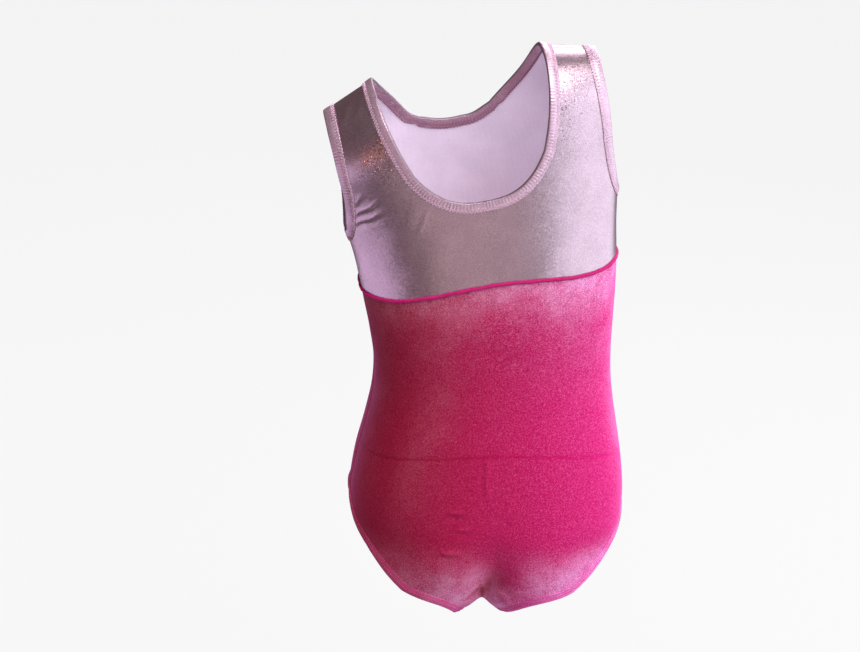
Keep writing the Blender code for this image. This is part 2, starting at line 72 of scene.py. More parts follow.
# The body form, as the parts have it.
HEIGHTS = (0.0, 0.055, 0.111, 0.170, 0.229, 0.310, 0.374, 0.450, 0.515)
HALF_WIDTH = (0.1134, 0.1126, 0.1190, 0.1120, 0.1014, 0.1061, 0.1119, 0.1265, 0.1353)
BACK_DEPTH = (0.0852, 0.0799, 0.0838, 0.0754, 0.0620, 0.0593, 0.0564, 0.0580, 0.0608)
FRONT_DEPTH = (0.0500, 0.0622, 0.0745, 0.0798, 0.0791, 0.0756, 0.0760, 0.0700, 0.0508)
PARTING = (0.006, 0.006, 0.006, 0.004, 0.002, 0.0, 0.0, 0.002, 0.004)
ROUNDNESS = 2.5
RISE_TOP = 0.533
RISE_SHOULDER = 0.440
RISE_CROTCH = 0.085
SHOULDER_HEIGHT = 0.5077
CROTCH_HEIGHT = 0.020
SHOULDER_CLOSING = 2.2
CROTCH_CLOSING = {1: 2.0, -1: 1.7}
SHOULDER_SLOPE, LEFT_SLOPE_ADDED = 0.266, 0.13
SLOPE_FROM, SLOPE_OVER = 0.40, 0.09
LEAN_AT_HIPS = -0.062
LEAN_ADDED = 0.273
LEAN_FROM, LEAN_OVER = 0.071, 0.430
LEAN_PIVOT = 0.140

# The seat: its two lobes, the cleft between them, and the saddle and notch under the crotch.
LOBE_SWELL, LOBE_X, LOBE_HALF = 0.006, 0.052, 0.035
LOBE_HEIGHT, LOBE_TALL = 0.075, 0.045
CLEFT_DEPTH, CLEFT_HALF = 0.010, 0.018
CLEFT_HEIGHT, CLEFT_TALL = 0.055, 0.030
SADDLE_BEND, SADDLE_REACH = 9.0, 0.075
SADDLE_FROM, SADDLE_OVER = 0.02, 0.07
NOTCH_DROP, NOTCH_HALF = 0.0085, 0.0085
NOTCH_FROM, NOTCH_OVER = 0.012, 0.080
LEFT_SAG, SAG_X, SAG_HALF = 0.0025, 0.046, 0.025

# Edges and seams, as distances from the centre line or as rises.
NECK_X = 0.0686
SHOULDER_X = 0.1123
NECK_BOTTOM = {1: 0.4088, -1: 0.4316}
NECK_CURVE = {1: 2.50, -1: 2.32}
UNDERARM = 0.3842
ARMHOLE_CURVE = 2.3
YOKE_SEAM = 0.3305
YOKE_WAVE = (0.0035, 0.0020, -0.0019)
CROTCH_X = 0.021
LEG_SIDE = 0.1136
LEG_BACK_PULLS = ((0.0, 0.80), (0.35, 0.36))
NECK_PULL = {1: (-0.0035, 0.60, 0.10), -1: (0.0048, 0.68, 0.26)}

# Cloth and trim.
FOIL = 0.9 * MM
VELOUR = 1.3 * MM
PARTING_GAP = 0.06 * MM
PANEL_INSET = 4.6 * MM
BINDING_WIDTH = 9.0 * MM
BINDING_CLOTH = 0.6 * MM
RIB_PITCH = 2.5 * MM
JOIN = 19 * MM  # where a binding's two ends are joined, from the start of its line
PIPING_RADIUS = 1.45 * MM
SEAM_WIDTH = 6.0 * MM
SEAM_DEPTHS = (-2.3 * MM, -3.0 * MM)
CROTCH_SEAM_DEPTHS = (-1.9 * MM, -2.6 * MM)
SEAM_END_CLEAR = 10.8 * MM
SIDE_SEAM_TOP_CLEAR, SIDE_SEAM_LOW_CLEAR = 11.5 * MM, 13.5 * MM
YOKE_SEAM_SHORT = 0.16  # radians left free at each end of a yoke seam's allowance
OVERLOCK_LOOP = 2.4 * MM
LOCKSTITCH = 2.7 * MM
STITCH_DRAW = 0.55  # how far stitching draws a binding down, as a share of its height
LINE_STEP = 1.2 * MM
SEAM_GAP = 0.9 * MM  # from the yoke seam to the edge of a panel
LINING_HALF_WIDTH, LINING_FLARE = 0.0085, 0.20
LINING_DEPTHS = (-3.45 * MM, -4.10 * MM)
LABEL_HALF_WIDTH = 12 * MM
LABEL_DEPTHS = (-2.9 * MM, -3.15 * MM)
HIP_LINE, HIP_LINE_BEND = 0.177, 0.0075  # the faint line across the hips, behind


def spline(knots, values):
    """A natural cubic through the points, held level past its ends."""
    knots, values = np.array(knots), np.array(values)
    gaps = np.diff(knots)
    count = len(knots)
    matrix, right = np.eye(count), np.zeros(count)
    for i in range(1, count - 1):
        matrix[i, i - 1 : i + 2] = gaps[i - 1], 2 * (gaps[i - 1] + gaps[i]), gaps[i]
        right[i] = 6 * ((values[i + 1] - values[i]) / gaps[i] - (values[i] - values[i - 1]) / gaps[i - 1])
    bend = np.linalg.solve(matrix, right)

    def curve(at):
        at = np.clip(at, knots[0], knots[-1])
        i = np.clip(np.searchsorted(knots, at) - 1, 0, count - 2)
        step = knots[i + 1] - knots[i]
        a, b = (knots[i + 1] - at) / step, (at - knots[i]) / step
        cubic = ((a**3 - a) * bend[i] + (b**3 - b) * bend[i + 1]) * step**2 / 6
        return a * values[i] + b * values[i + 1] + cubic

    return curve


half_width = spline(HEIGHTS, HALF_WIDTH)
back_depth = spline(HEIGHTS, BACK_DEPTH)
front_depth = spline(HEIGHTS, FRONT_DEPTH)
parting = spline(HEIGHTS, PARTING)


def smooth(x):
    x = np.clip(x, 0, 1)
    return x * x * (3 - 2 * x)


def bump(x, centre, width):
    return np.exp(-(((x - centre) / width) ** 2))


def unit(vectors):
    return vectors / np.linalg.norm(vectors, axis=-1, keepdims=True)


def lengths(points):
    """How far along a path of points each of them lies."""
    return np.concatenate([[0], np.cumsum(np.linalg.norm(np.diff(points, axis=0), axis=1))])


def floats(*values):
    return np.broadcast_arrays(*(np.asarray(value, float) for value in values))


LEAN_HEIGHTS = np.linspace(-0.06, 0.60, 1321)
LEAN = LEAN_AT_HIPS + LEAN_ADDED * smooth((LEAN_HEIGHTS - LEAN_FROM) / LEAN_OVER)
LEAN_STEP = LEAN_HEIGHTS[1] - LEAN_HEIGHTS[0]
SPINE_X = np.cumsum(np.sin(LEAN)) * LEAN_STEP
SPINE_Z = np.cumsum(np.cos(LEAN)) * LEAN_STEP
SPINE_X -= np.interp(LEAN_PIVOT, LEAN_HEIGHTS, SPINE_X)
SPINE_Z -= np.interp(LEAN_PIVOT, LEAN_HEIGHTS, SPINE_Z) - LEAN_PIVOT


def lean_over(x, y, height):
    """Bends the upright form sideways along its curved spine."""
    angle = np.interp(height, LEAN_HEIGHTS, LEAN)
    across = np.interp(height, LEAN_HEIGHTS, SPINE_X) + x * np.cos(angle)
    up = np.interp(height, LEAN_HEIGHTS, SPINE_Z) - x * np.sin(angle)
    return np.stack([across, y, up], axis=-1)


def height_and_closing(side, rise):
    """The height of a rise, and how much of the section's depth is left there."""
    top = np.clip((rise - RISE_SHOULDER) / (RISE_TOP - RISE_SHOULDER), 0, 1) * QUARTER
    low = np.clip((RISE_CROTCH - rise) / RISE_CROTCH, 0, 1) * QUARTER
    over = 2 / SHOULDER_CLOSING
    under = 2 / np.where(side > 0, CROTCH_CLOSING[1], CROTCH_CLOSING[-1])
    height = np.where(
        rise > RISE_SHOULDER,
        RISE_SHOULDER + (SHOULDER_HEIGHT - RISE_SHOULDER) * np.sin(top) ** over,
        np.where(
            rise < RISE_CROTCH,
            RISE_CROTCH - (RISE_CROTCH - CROTCH_HEIGHT) * np.sin(low) ** under,
            rise,
        ),
    )
    return height, np.maximum(np.cos(top), 0) ** over * np.maximum(np.cos(low), 0) ** under


def form(side, angle, rise):
    """The point of the body form at these coordinates, still with its own origin."""
    side, angle, rise = floats(side, angle, rise)
    height, closing = height_and_closing(side, np.clip(rise, 0, RISE_TOP))
    across = np.sin(angle)
    x = half_width(height) * across
    middle = parting(height)
    level = np.maximum(1 - np.abs(across) ** ROUNDNESS, 0) ** (1 / ROUNDNESS)
    depth = np.where(side > 0, back_depth(height), front_depth(height)) - side * middle
    lobes = LOBE_SWELL * bump(np.abs(x), LOBE_X, LOBE_HALF) * bump(height, LOBE_HEIGHT, LOBE_TALL)
    cleft = CLEFT_DEPTH * bump(x, 0, CLEFT_HALF) * bump(height, CLEFT_HEIGHT, CLEFT_TALL)
    depth = depth + np.where(side > 0, lobes - cleft, 0)
    y = middle + side * depth * closing * level
    drop = SHOULDER_SLOPE * (np.abs(x) - NECK_X) + LEFT_SLOPE_ADDED * np.maximum(x - NECK_X, 0)
    drop = drop * smooth((height - SLOPE_FROM) / SLOPE_OVER)
    notch = NOTCH_DROP * (1 - bump(x, 0, NOTCH_HALF)) * (1 - smooth((np.abs(x) - NOTCH_FROM) / NOTCH_OVER))
    sag = LEFT_SAG * bump(x, SAG_X, SAG_HALF)
    saddle = SADDLE_BEND * np.minimum(np.abs(x), SADDLE_REACH) ** 2 + notch + sag
    saddle = saddle * (1 - smooth((height - SADDLE_FROM) / SADDLE_OVER))
    return lean_over(x, y, height - drop - saddle)


def directions(side, angle, rise):
    """The form's two slopes at a point, and its outward normal."""
    turn, step = 0.004, 0.0004
    angle, rise = np.clip(angle, -QUARTER, QUARTER), np.clip(rise, 0, RISE_TOP)
    low, high = np.clip(angle - turn, -QUARTER, QUARTER), np.clip(angle + turn, -QUARTER, QUARTER)
    by_angle = (form(side, high, rise) - form(side, low, rise)) / (high - low)[..., None]
    low, high = np.clip(rise - step, 0, RISE_TOP), np.clip(rise + step, 0, RISE_TOP)
    by_rise = (form(side, angle, high) - form(side, angle, low)) / (high - low)[..., None]
    normal = np.asarray(side, float)[..., None] * np.cross(by_rise, by_angle)
    return by_angle, by_rise, unit(normal)


def angle_of(x, rise):
    """The angle of the point x from the centre line at this rise."""
    height, _ = height_and_closing(1, np.asarray(rise, float))
    return np.arcsin(np.clip(x / half_width(height), -1, 1))


ORIGIN = (
    form(1, angle_of(NECK_X, RISE_TOP), RISE_TOP) + form(1, -angle_of(NECK_X, RISE_TOP), RISE_TOP)
) / 2

# Creases of the worn cloth: side, from and to as (degrees, rise), width and height in mm.
CREASES = (
    (1, (62, 0.4090), (43, 0.4235), 2.0, 0.42),
    (1, (67, 0.3985), (43, 0.4115), 2.0, 0.45),
    (1, (60, 0.4200), (50, 0.4320), 2.2, 0.25),
    (1, (22, 0.4110), (31, 0.3870), 1.8, 0.16),
    (1, (34, 0.5270), (42, 0.4980), 3.2, 0.30),
    (1, (41, 0.5240), (50, 0.4960), 3.2, 0.28),
    (1, (-62, 0.4060), (-47, 0.4140), 2.4, 0.22),
    (1, (6.5, 0.1800), (5.5, 0.1480), 1.4, 1.00),
    (1, (21, 0.1350), (14.5, 0.1370), 1.8, 1.60),
    (1, (23, 0.0990), (15, 0.0975), 1.8, 1.60),
    (1, (17, 0.1210), (11, 0.1215), 1.8, 1.10),
    (1, (-27, 0.0900), (-33, 0.0855), 2.6, 0.60),
    (1, (-44, 0.0930), (-50, 0.0890), 2.6, 0.60),
    (1, (-36, 0.0800), (-41, 0.0830), 2.2, 0.45),
    (1, (11.5, 0.0635), (3.0, 0.0615), 1.5, 2.2),
    (1, (11.2, 0.0555), (3.7, 0.054), 1.5, 2.0),
    (1, (10.0, 0.066), (2.8, 0.0675), 1.4, 1.6),
    (1, (-0.2, 0.0385), (3.5, 0.071), 1.6, 2.0),
    (1, (-12, 0.0500), (-3, 0.0600), 2.4, 0.70),
)
FRONT_CREASES = (
    ((62, 0.4050), (45, 0.4150), 2.2, 0.35),
    ((64, 0.3950), (48, 0.3980), 2.2, 0.30),
    ((12, 0.0620), (24, 0.0900), 2.5, 0.50),
)
for (from_angle, from_rise), (to_angle, to_rise), *size in FRONT_CREASES:
    for mirror in (1, -1):
        CREASES += ((-1, (mirror * from_angle, from_rise), (mirror * to_angle, to_rise), *size),)
ARC = 0.1  # metres of cloth per radian of angle, near enough for laying out creases


def waves(x, *turns):
    """An uneven ripple between about -1 and 1, the same each time: sines of unrelated lengths."""
    return sum(np.sin(x * turn + 7.3 * i) for i, turn in enumerate(turns, 1)) / len(turns)


def hip_line(angle):
    return HIP_LINE + HIP_LINE_BEND * np.cos(2 * angle)


def relief(side, angle, rise):
    """How far the cloth stands off the smooth form."""
    side, angle, rise = floats(side, angle, rise)
    across = ARC * angle
    height = np.zeros(angle.shape)
    for crease_side, start, end, width, lift in CREASES:
        a = np.array([ARC * math.radians(start[0]), start[1]])
        b = np.array([ARC * math.radians(end[0]), end[1]])
        run = b - a
        length = np.linalg.norm(run)
        run = run / length
        along = (across - a[0]) * run[0] + (rise - a[1]) * run[1]
        off = -(across - a[0]) * run[1] + (rise - a[1]) * run[0]
        off = off + 0.6 * MM * np.sin(along / (4.0 * MM) + start[0])
        fade = smooth((along / length + 0.15) / 0.35) * smooth((1.15 - along / length) / 0.5)
        ridge = bump(off, 0, width * MM) - 0.45 * bump(off, 2.1 * width * MM, 1.4 * width * MM)
        height = height + np.where(side == crease_side, lift * MM * ridge * fade, 0)
    seam_rise = yoke_seam(angle)
    under_seam = np.exp(-np.abs(rise - seam_rise) / (7 * MM))
    height = height + 0.16 * MM * under_seam * waves(across, 1150, 1730, 820)
    joint = hip_line(angle) + 0.8 * MM * waves(across, 130, 310)
    height = height - np.where(side > 0, 0.18 * MM * bump(rise, joint, 1.2 * MM), 0)
    height = height + 0.22 * MM * waves(rise + 0.35 * across, 95, 153) * waves(across - 0.2 * rise, 61, 117)
    to_side = ARC * (QUARTER - np.abs(angle))
    height = height - 0.55 * MM * bump(to_side, 0, 1.1 * MM)
    return height


def cloth(side, angle, rise, depth):
    """A point at a depth from the worn cloth's surface, negative inwards, in the part's frame."""
    side, angle, rise, depth = floats(side, angle, rise, depth)
    normal = directions(side, angle, rise)[2]
    lift = depth + relief(side, angle, rise)
    return form(side, angle, rise) + normal * lift[..., None] - ORIGIN


def neck_edge(hand):
    """One half of the neck edge, drawn on the left: share 0 at the shoulder, 1 at the centre."""
    pull, centre, width = NECK_PULL[hand]

    def edge(side, share):
        turn = share * QUARTER
        power = 2 / NECK_CURVE[side]
        x = NECK_X * np.maximum(np.cos(turn), 0) ** power
        rise = RISE_TOP - (RISE_TOP - NECK_BOTTOM[side]) * np.sin(turn) ** power
        if side < 0:
            rise = rise + pull * bump(share, centre, width) * smooth((1 - share) / 0.16)
        return angle_of(x, rise), rise

    return edge


def armhole_edge(side, share):
    """The left armhole's edge: share 0 at the underarm, 1 at the shoulder."""
    turn = share * QUARTER
    power = 2 / ARMHOLE_CURVE
    inwards = QUARTER - angle_of(SHOULDER_X, RISE_TOP)
    angle = QUARTER - inwards * np.sin(turn) ** power
    return angle, UNDERARM + (RISE_TOP - UNDERARM) * (1 - np.maximum(np.cos(turn), 0) ** power)


def leg_edge(side, share):
    """The left leg's edge: share 0 at the crotch seam, 1 at the side seam."""
    turn = share * QUARTER
    if side > 0:
        (x1, y1), (x2, y2) = LEG_BACK_PULLS
        near, far = 3 * (1 - share) ** 2 * share, 3 * (1 - share) * share**2
        out, up = near * x1 + far * x2 + share**3, near * y1 + far * y2 + share**3
    else:
        out, up = 1 - np.cos(turn), np.sin(turn)
    start = angle_of(CROTCH_X, 0)
    return start + (QUARTER - start) * out, LEG_SIDE * up


def yoke_seam(angle):
    even, ripple, tilt = YOKE_WAVE
    return YOKE_SEAM + even * np.cos(2 * angle) + ripple * np.cos(4 * angle) + tilt * np.sin(angle)


def evenly(side, edge):
    """Angle and rise at points spaced evenly along an edge, by length."""
    share = np.linspace(0, 1, 1500)
    length = lengths(form(side, *edge(side, share)))
    count = int(round(length[-1] / LINE_STEP)) + 1
    return edge(side, np.interp(np.linspace(0, length[-1], count), length, share))


class Line:
    """A closed line on the form, with its own inward direction on the surface at every station."""

    def __init__(self, sides, angles, rises, turn):
        self.side, self.angle, self.rise = sides, angles, rises
        points = form(sides, angles, rises)
        along = np.roll(points, -1, axis=0) - np.roll(points, 1, axis=0)
        by_angle, by_rise, normal = directions(sides, angles, rises)
        aim = unit(turn * np.cross(normal, along))
        slopes = np.stack([by_angle, by_rise], axis=2)
        self.inwards = np.array([np.linalg.lstsq(m, v, rcond=None)[0] for m, v in zip(slopes, aim)])
        self.mark = lengths(np.concatenate([points, points[:1]]))
        self.length = self.mark[-1]

    def moved(self, along, inset):
        """Side, angle and rise at lengths along the line, moved inwards over the surface."""
        along = np.mod(along, self.length)
        i = np.clip(np.searchsorted(self.mark, along, side="right") - 1, 0, len(self.mark) - 2)
        k = (i + 1) % len(self.side)
        part = (along - self.mark[i]) / (self.mark[i + 1] - self.mark[i])
        side = np.minimum(self.side[i], self.side[k])
        inwards = self.inwards[i] * (1 - part)[..., None] + self.inwards[k] * part[..., None]
        angle = self.angle[i] * (1 - part) + self.angle[k] * part + inwards[..., 0] * inset
        rise = self.rise[i] * (1 - part) + self.rise[k] * part + inwards[..., 1] * inset
        return side, angle, rise

    def place(self, along, inset, depth):
        """Points at lengths along the line, insets from it and depths from the cloth."""
        return cloth(*self.moved(*floats(along, inset)), depth)


def opening_line(edge, hand):
    """The edge of an armhole or a leg: its back half from station 0, then its front half back again."""
    back, front = evenly(1, edge), evenly(-1, edge)
    sides = np.concatenate([np.ones(len(back[0])), -np.ones(len(front[0]) - 2)])
    angles, rises = (np.concatenate([back[k], front[k][-2:0:-1]]) for k in (0, 1))
    line = Line(sides, angles * hand, rises, turn=-hand)
    line.top = line.mark[len(back[0]) - 1]
    return line


def neck_line():
    """The whole neck edge: left back, right back, right front, left front."""
    back, front = (evenly(side, neck_edge(1)) for side in (1, -1))
    right = evenly(-1, neck_edge(-1))
    angles = np.concatenate([back[0], -back[0][-2::-1], -right[0][1:], front[0][-2:0:-1]])
    rises = np.concatenate([back[1], back[1][-2::-1], right[1][1:], front[1][-2:0:-1]])
    behind = 2 * len(back[0]) - 1
    sides = np.concatenate([np.ones(behind), -np.ones(len(angles) - behind)])
    line = Line(sides, angles, rises, turn=-1)
    line.top = line.mark[behind - 1]
    line.front_middle = line.mark[behind + len(right[0]) - 2]
    return line


NECK = neck_line()
ARMHOLES = {hand: opening_line(armhole_edge, hand) for hand in (1, -1)}
LEGS = {hand: opening_line(leg_edge, hand) for hand in (1, -1)}


def on_quarter(hand, angle, rise):
    return np.clip(hand * angle, 0, QUARTER), np.clip(rise, 0, RISE_TOP)


def half_edge(line, side, hand, count, inset):
    """Angle and rise along the back or front half of an opening, from its lower end."""
    ends = (0, line.top) if side > 0 else (line.length, line.top)
    _, angle, rise = line.moved(np.linspace(*ends, count) - (1e-9 if side < 0 else 0), inset)
    return on_quarter(hand, angle, rise)


def neck_half(side, hand, count, inset):
    """Angle and rise along a quarter of the neck, from the centre line out to the shoulder."""
    if side > 0:
        ends = (NECK.top / 2, 0) if hand > 0 else (NECK.top / 2, NECK.top)
    else:
        ends = (NECK.front_middle, NECK.length) if hand > 0 else (NECK.front_middle, NECK.top)
    along = np.linspace(*ends, count)
    _, angle, rise = NECK.moved(np.clip(along, 1e-7, NECK.length - 1e-7), inset)
    return on_quarter(hand, angle, rise)


# --- materials ---


class Nodes:
    """A material's node tree, with short calls for the nodes that these materials share."""

    def __init__(self, name):
        self.material = bpy.data.materials.new(name)
        self.material.use_nodes = True
        self.tree = self.material.node_tree
        self.shader = self.tree.nodes["Principled BSDF"]
        self.where = self.add("TexCoord").outputs["Object"]

    def feed(self, socket, value):
        """Links a socket to another, or sets its value."""
        if isinstance(value, bpy.types.NodeSocket):
            self.tree.links.new(value, socket)
        elif hasattr(value, "__len__"):
            socket.default_value = (*value, 1) if len(value) == 3 and socket.type == "RGBA" else value
        else:
            socket.default_value = value

    def add(self, kind, **inputs):
        """A new node, its inputs given by their names in small letters."""
        node = self.tree.nodes.new("ShaderNode" + kind)
        for name, value in inputs.items():
            self.feed(node.inputs[name.replace("_", " ").title()], value)
        return node

    def noise(self, scale, detail=2.0, rough=0.5, stretch=None):
        where = self.where
        if stretch:
            where = self.add("Mapping", vector=where, scale=stretch).outputs["Vector"]
        return self.add("TexNoise", vector=where, scale=scale, detail=detail, roughness=rough).outputs["Fac"]

    def mottle(self, low, high, *noise):
        """Noise spread between two values."""
        return self.fit(self.noise(*noise), 0.3, 0.7, low, high)

    def cells(self, scale, output="Color"):
        return self.add("TexVoronoi", vector=self.where, scale=scale).outputs[output]

    def maths(self, operation, a, b=0.0, c=0.0):
        node = self.add("Math")
        node.operation = operation
        for socket, value in zip(node.inputs, (a, b, c)):
            self.feed(socket, value)
        return node.outputs["Value"]

    def times(self, a, b):
        return self.maths("MULTIPLY", a, b)

    def vector(self, operation, a, b=(0, 0, 0), scale=None):
        node = self.add("VectorMath")
        node.operation = operation
        self.feed(node.inputs[0], a)
        self.feed(node.inputs[1], b)
        if scale is not None:
            self.feed(node.inputs["Scale"], scale)
        return node.outputs["Vector"]

    def fit(self, value, low, high, to_low=0.0, to_high=1.0):
        """A value carried from one range to another, and held inside it."""
        ends = {"from_min": low, "from_max": high, "to_min": to_low, "to_max": to_high}
        return self.add("MapRange", value=value, **ends).outputs["Result"]

    def mix(self, share, a, b, blend="MIX"):
        node = self.add("Mix")
        node.data_type = "RGBA"
        node.blend_type = blend
        self.feed(node.inputs["Factor"], share)
        self.feed(node.inputs[6], a)
        self.feed(node.inputs[7], b)
        return node.outputs[2]

    def tinted(self, colour, shade):
        return self.mix(1.0, colour, shade, "MULTIPLY")

    def attribute(self, name):
        node = self.add("Attribute")
        node.attribute_name = name
        return node.outputs["Fac"]

    def bump(self, height, distance, strength=1.0, onto=None):
        node = self.add("Bump", height=height, distance=distance, strength=strength)
        if onto is not None:
            self.feed(node.inputs["Normal"], onto)
        return node.outputs["Normal"]

    def set(self, **values):
        for name, value in values.items():
            self.feed(self.shader.inputs[name.replace("_", " ").title().replace("Ior", "IOR")], value)
        return self.material


def foil_material(name, tint, tilt=0.10, roughness=0.33, metallic=0.92):
    """Metallic-printed knit: tiny foil flakes, each tilted its own way, a few of them bright and loose."""
    n = Nodes(name)
    shades = n.cells(1500)
    flakes = n.vector("SUBTRACT", shades, (0.5, 0.5, 0.5))
    loose = n.fit(n.cells(1270), 0.66, 0.70)
    worn = n.times(loose, n.attribute("worn"))
    spread = n.maths("MULTIPLY_ADD", worn, 0.30, tilt)
    normal = n.add("NewGeometry").outputs["Normal"]
    tilted = n.vector("NORMALIZE", n.vector("ADD", normal, n.vector("SCALE", flakes, scale=spread)))
    tilted = n.bump(n.noise(260, 3, 0.6), 0.14 * MM, 0.25, onto=tilted)
    soft = n.mottle(0.92, 1.07, 45, 4, 0.6)
    speckle = n.fit(n.noise(1300, 2), 0.33, 0.67, 0.82, 1.18)
    # Painted shade: the binding darkened along its fold.
    fold_shade = n.fit(n.attribute("fold"), 0, 1, 1.0, 0.30)
    shade = n.times(n.times(soft, speckle), fold_shade)
    colour = n.tinted(tint, shade)
    even = n.fit(n.noise(900, 1), 0.35, 0.65, roughness - 0.04, roughness + 0.06)
    rough = n.times(even, n.fit(worn, 0, 1, 1.0, 0.34))
    return n.set(base_color=colour, metallic=metallic, roughness=rough, normal=tilted)


def reverse_material(name, tint, ribs=300):
    """The matt reverse of a knit, with its fine upright ribs."""
    n = Nodes(name)
    wave = n.add("TexWave", vector=n.where, scale=ribs, distortion=1.5, detail=2.0, detail_scale=2.0)
    soft = n.mottle(0.94, 1.04, 40, 3)
    grain = n.mottle(0.93, 1.05, 1400, 2)
    colour = n.tinted(tint, n.times(soft, grain))
    height = n.maths("ADD", wave.outputs["Fac"], n.noise(1200, 2))
    return n.set(
        base_color=colour,
        roughness=n.mottle(0.78, 0.92, 300, 2),
        normal=n.bump(height, 0.10 * MM, 0.6),
        sheen_weight=0.25,
        sheen_roughness=0.5,
    )


def velour_material(name, deep, brushed_and_sheen, share=0.0, grain=1.0):
    """Short-pile velour: deep where the pile stands up, pale where it lies brushed flat and where sheen is
    painted, with painted light and shade over it.
    """
    n = Nodes(name)
    clouds = n.fit(n.noise(24, 5, 0.65, stretch=(0.8, 1.0, 1.0)), 0.38, 0.64, 0.20, 1.15)
    strokes = n.fit(n.noise(85, 4, 0.65, stretch=(1.0, 1.0, 0.6)), 0.32, 0.68, 0.65, 1.35)
    pile = n.noise(800, 3, 0.7)
    fibres = n.noise(1500, 2, 0.6)
    # Pile lying flat and painted sheen, plus the material's own share of them.
    zone = n.maths("ADD", n.attribute("brushed_and_sheen"), share)
    amount = n.times(zone, n.times(clouds, strokes))
    speckled = n.maths("ADD", amount, n.fit(pile, 0.3, 0.7, -0.10 * grain, 0.10 * grain))
    flecks = n.times(n.fit(fibres, 0.50, 0.66), n.maths("MULTIPLY_ADD", zone, 1.30 * grain, 0.10))
    colour = n.mix(n.maths("ADD", speckled, flecks), deep, brushed_and_sheen)
    dots = n.fit(pile, 0.32, 0.68, 1 - 0.26 * grain, 1 + 0.18 * grain)
    # Painted light and shade: the pile darker and warmer where shade is painted, lighter and bluer where
    # light is painted.
    painted_light = n.attribute("painted_light")
    painted_light_tint = n.mix(n.fit(painted_light, -0.45, 0.30), (1.0, 0.70, 0.50), (1.0, 1.45, 1.40))
    colour = n.tinted(colour, n.times(dots, n.maths("ADD", painted_light, 1.0)))
    colour = n.tinted(colour, painted_light_tint)
    height = n.maths("ADD", pile, strokes)
    return n.set(
        base_color=colour,
        roughness=n.fit(pile, 0.3, 0.7, 0.70, 0.95),
        normal=n.bump(height, 0.30 * MM, 0.45 * grain),
        sheen_weight=0.60,
        sheen_roughness=0.30,
        sheen_tint=(1.0, 0.22, 0.70),
        specular_ior_level=0.15,
    )


def thread_material(name, tint):
    """Spun thread: fine twist along and across, with a slight gloss."""
    n = Nodes(name)
    twist = n.noise(2600, 2)
    colour = n.tinted(tint, n.fit(twist, 0.3, 0.7, 0.78, 1.15))
    return n.set(
        base_color=colour,
        roughness=n.fit(twist, 0.3, 0.7, 0.42, 0.62),
        normal=n.bump(twist, 0.08 * MM, 0.6),
        sheen_weight=0.2,
    )


def plain_knit_material(name, tint, scale, roughness):
    """A plain woven or knitted trim: lining, elastic or label."""
    n = Nodes(name)
    cells = n.cells(scale, "Distance")
    soft = n.mottle(0.93, 1.04, 60, 3)
    colour = n.tinted(tint, n.times(soft, n.fit(cells, 0.0, 0.6, 1.04, 0.86)))
    rough = n.mottle(roughness - 0.06, roughness + 0.06, scale / 2, 2)
    return n.set(base_color=colour, roughness=rough, normal=n.bump(cells, 0.12 * MM, 0.6), sheen_weight=0.15)


FOIL_OUT = foil_material("foil_knit", (0.50, 0.36, 0.41))
# The bindings are the same foil knit as the yokes, duller, with a lighter tint as painted light from above.
FOIL_BAND = foil_material("foil_binding", (0.62, 0.42, 0.51), roughness=0.40, metallic=0.62)
FOIL_IN = reverse_material("foil_knit_reverse", (0.92, 0.82, 0.95))
PILE = velour_material("velour", (0.52, 0.003, 0.100), (0.82, 0.31, 0.56))
# The leg bands: a larger share of flat pile and painted sheen.
PILE_BAND = velour_material("velour_band", (0.60, 0.03, 0.19), (0.86, 0.28, 0.56), share=0.45, grain=0.6)
PILE_ROLL = velour_material("velour_roll", (0.50, 0.008, 0.13), (0.84, 0.16, 0.42), grain=0.5)
PILE_IN = reverse_material("velour_reverse", (0.74, 0.22, 0.42), ribs=360)
PALE_THREAD = thread_material("mauve_thread", (0.74, 0.50, 0.62))
DARK_THREAD = thread_material("mauve_thread_inside", (0.40, 0.16, 0.27))
PINK_THREAD = thread_material("pink_thread", (0.62, 0.03, 0.20))
LINING = plain_knit_material("lining_knit", (0.72, 0.56, 0.68), 1300, 0.85)
ELASTIC = plain_knit_material("elastic", (0.85, 0.83, 0.82), 900, 0.75)
SATIN = plain_knit_material("label_satin", (0.88, 0.87, 0.86), 1600, 0.42)


# --- meshes ---


def add_object(name, data):
    made = bpy.data.objects.new(name, data)
    bpy.context.scene.collection.objects.link(made)
    return made


def add_piece(name, vertices, faces, materials, slots=None, slot=None):
    """A shown piece of the garment: a closed mesh, turned to face out, riding on the one body.

    A piece that has the name of a node is shown in its place.
    """
    replaced = [name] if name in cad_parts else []
    name = f"{name}_detail" if replaced else name
    vertices = np.asarray(vertices, float)
    corners = np.array([face[:3] for face in faces])
    a, b, c = (vertices[corners[:, k]] for k in range(3))
    fourth = np.array([face[3] if len(face) == 4 else face[2] for face in faces])
    d = vertices[fourth]
    volume = (a * np.cross(b, c)).sum() + (a * np.cross(c, d)).sum()
    if volume < 0:
        faces = [face[::-1] for face in faces]
    mesh = bpy.data.meshes.new(name)
    mesh.from_pydata(vertices.tolist(), [], faces)
    mesh.shade_smooth()
    for material in materials:
        mesh.materials.append(material)
    if slots is not None:
        mesh.polygons.foreach_set("material_index", slots)
    mesh.update()
    made = add_object(name, mesh)
    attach(made, "root")
    if replaced:
        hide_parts(*replaced)
    return made


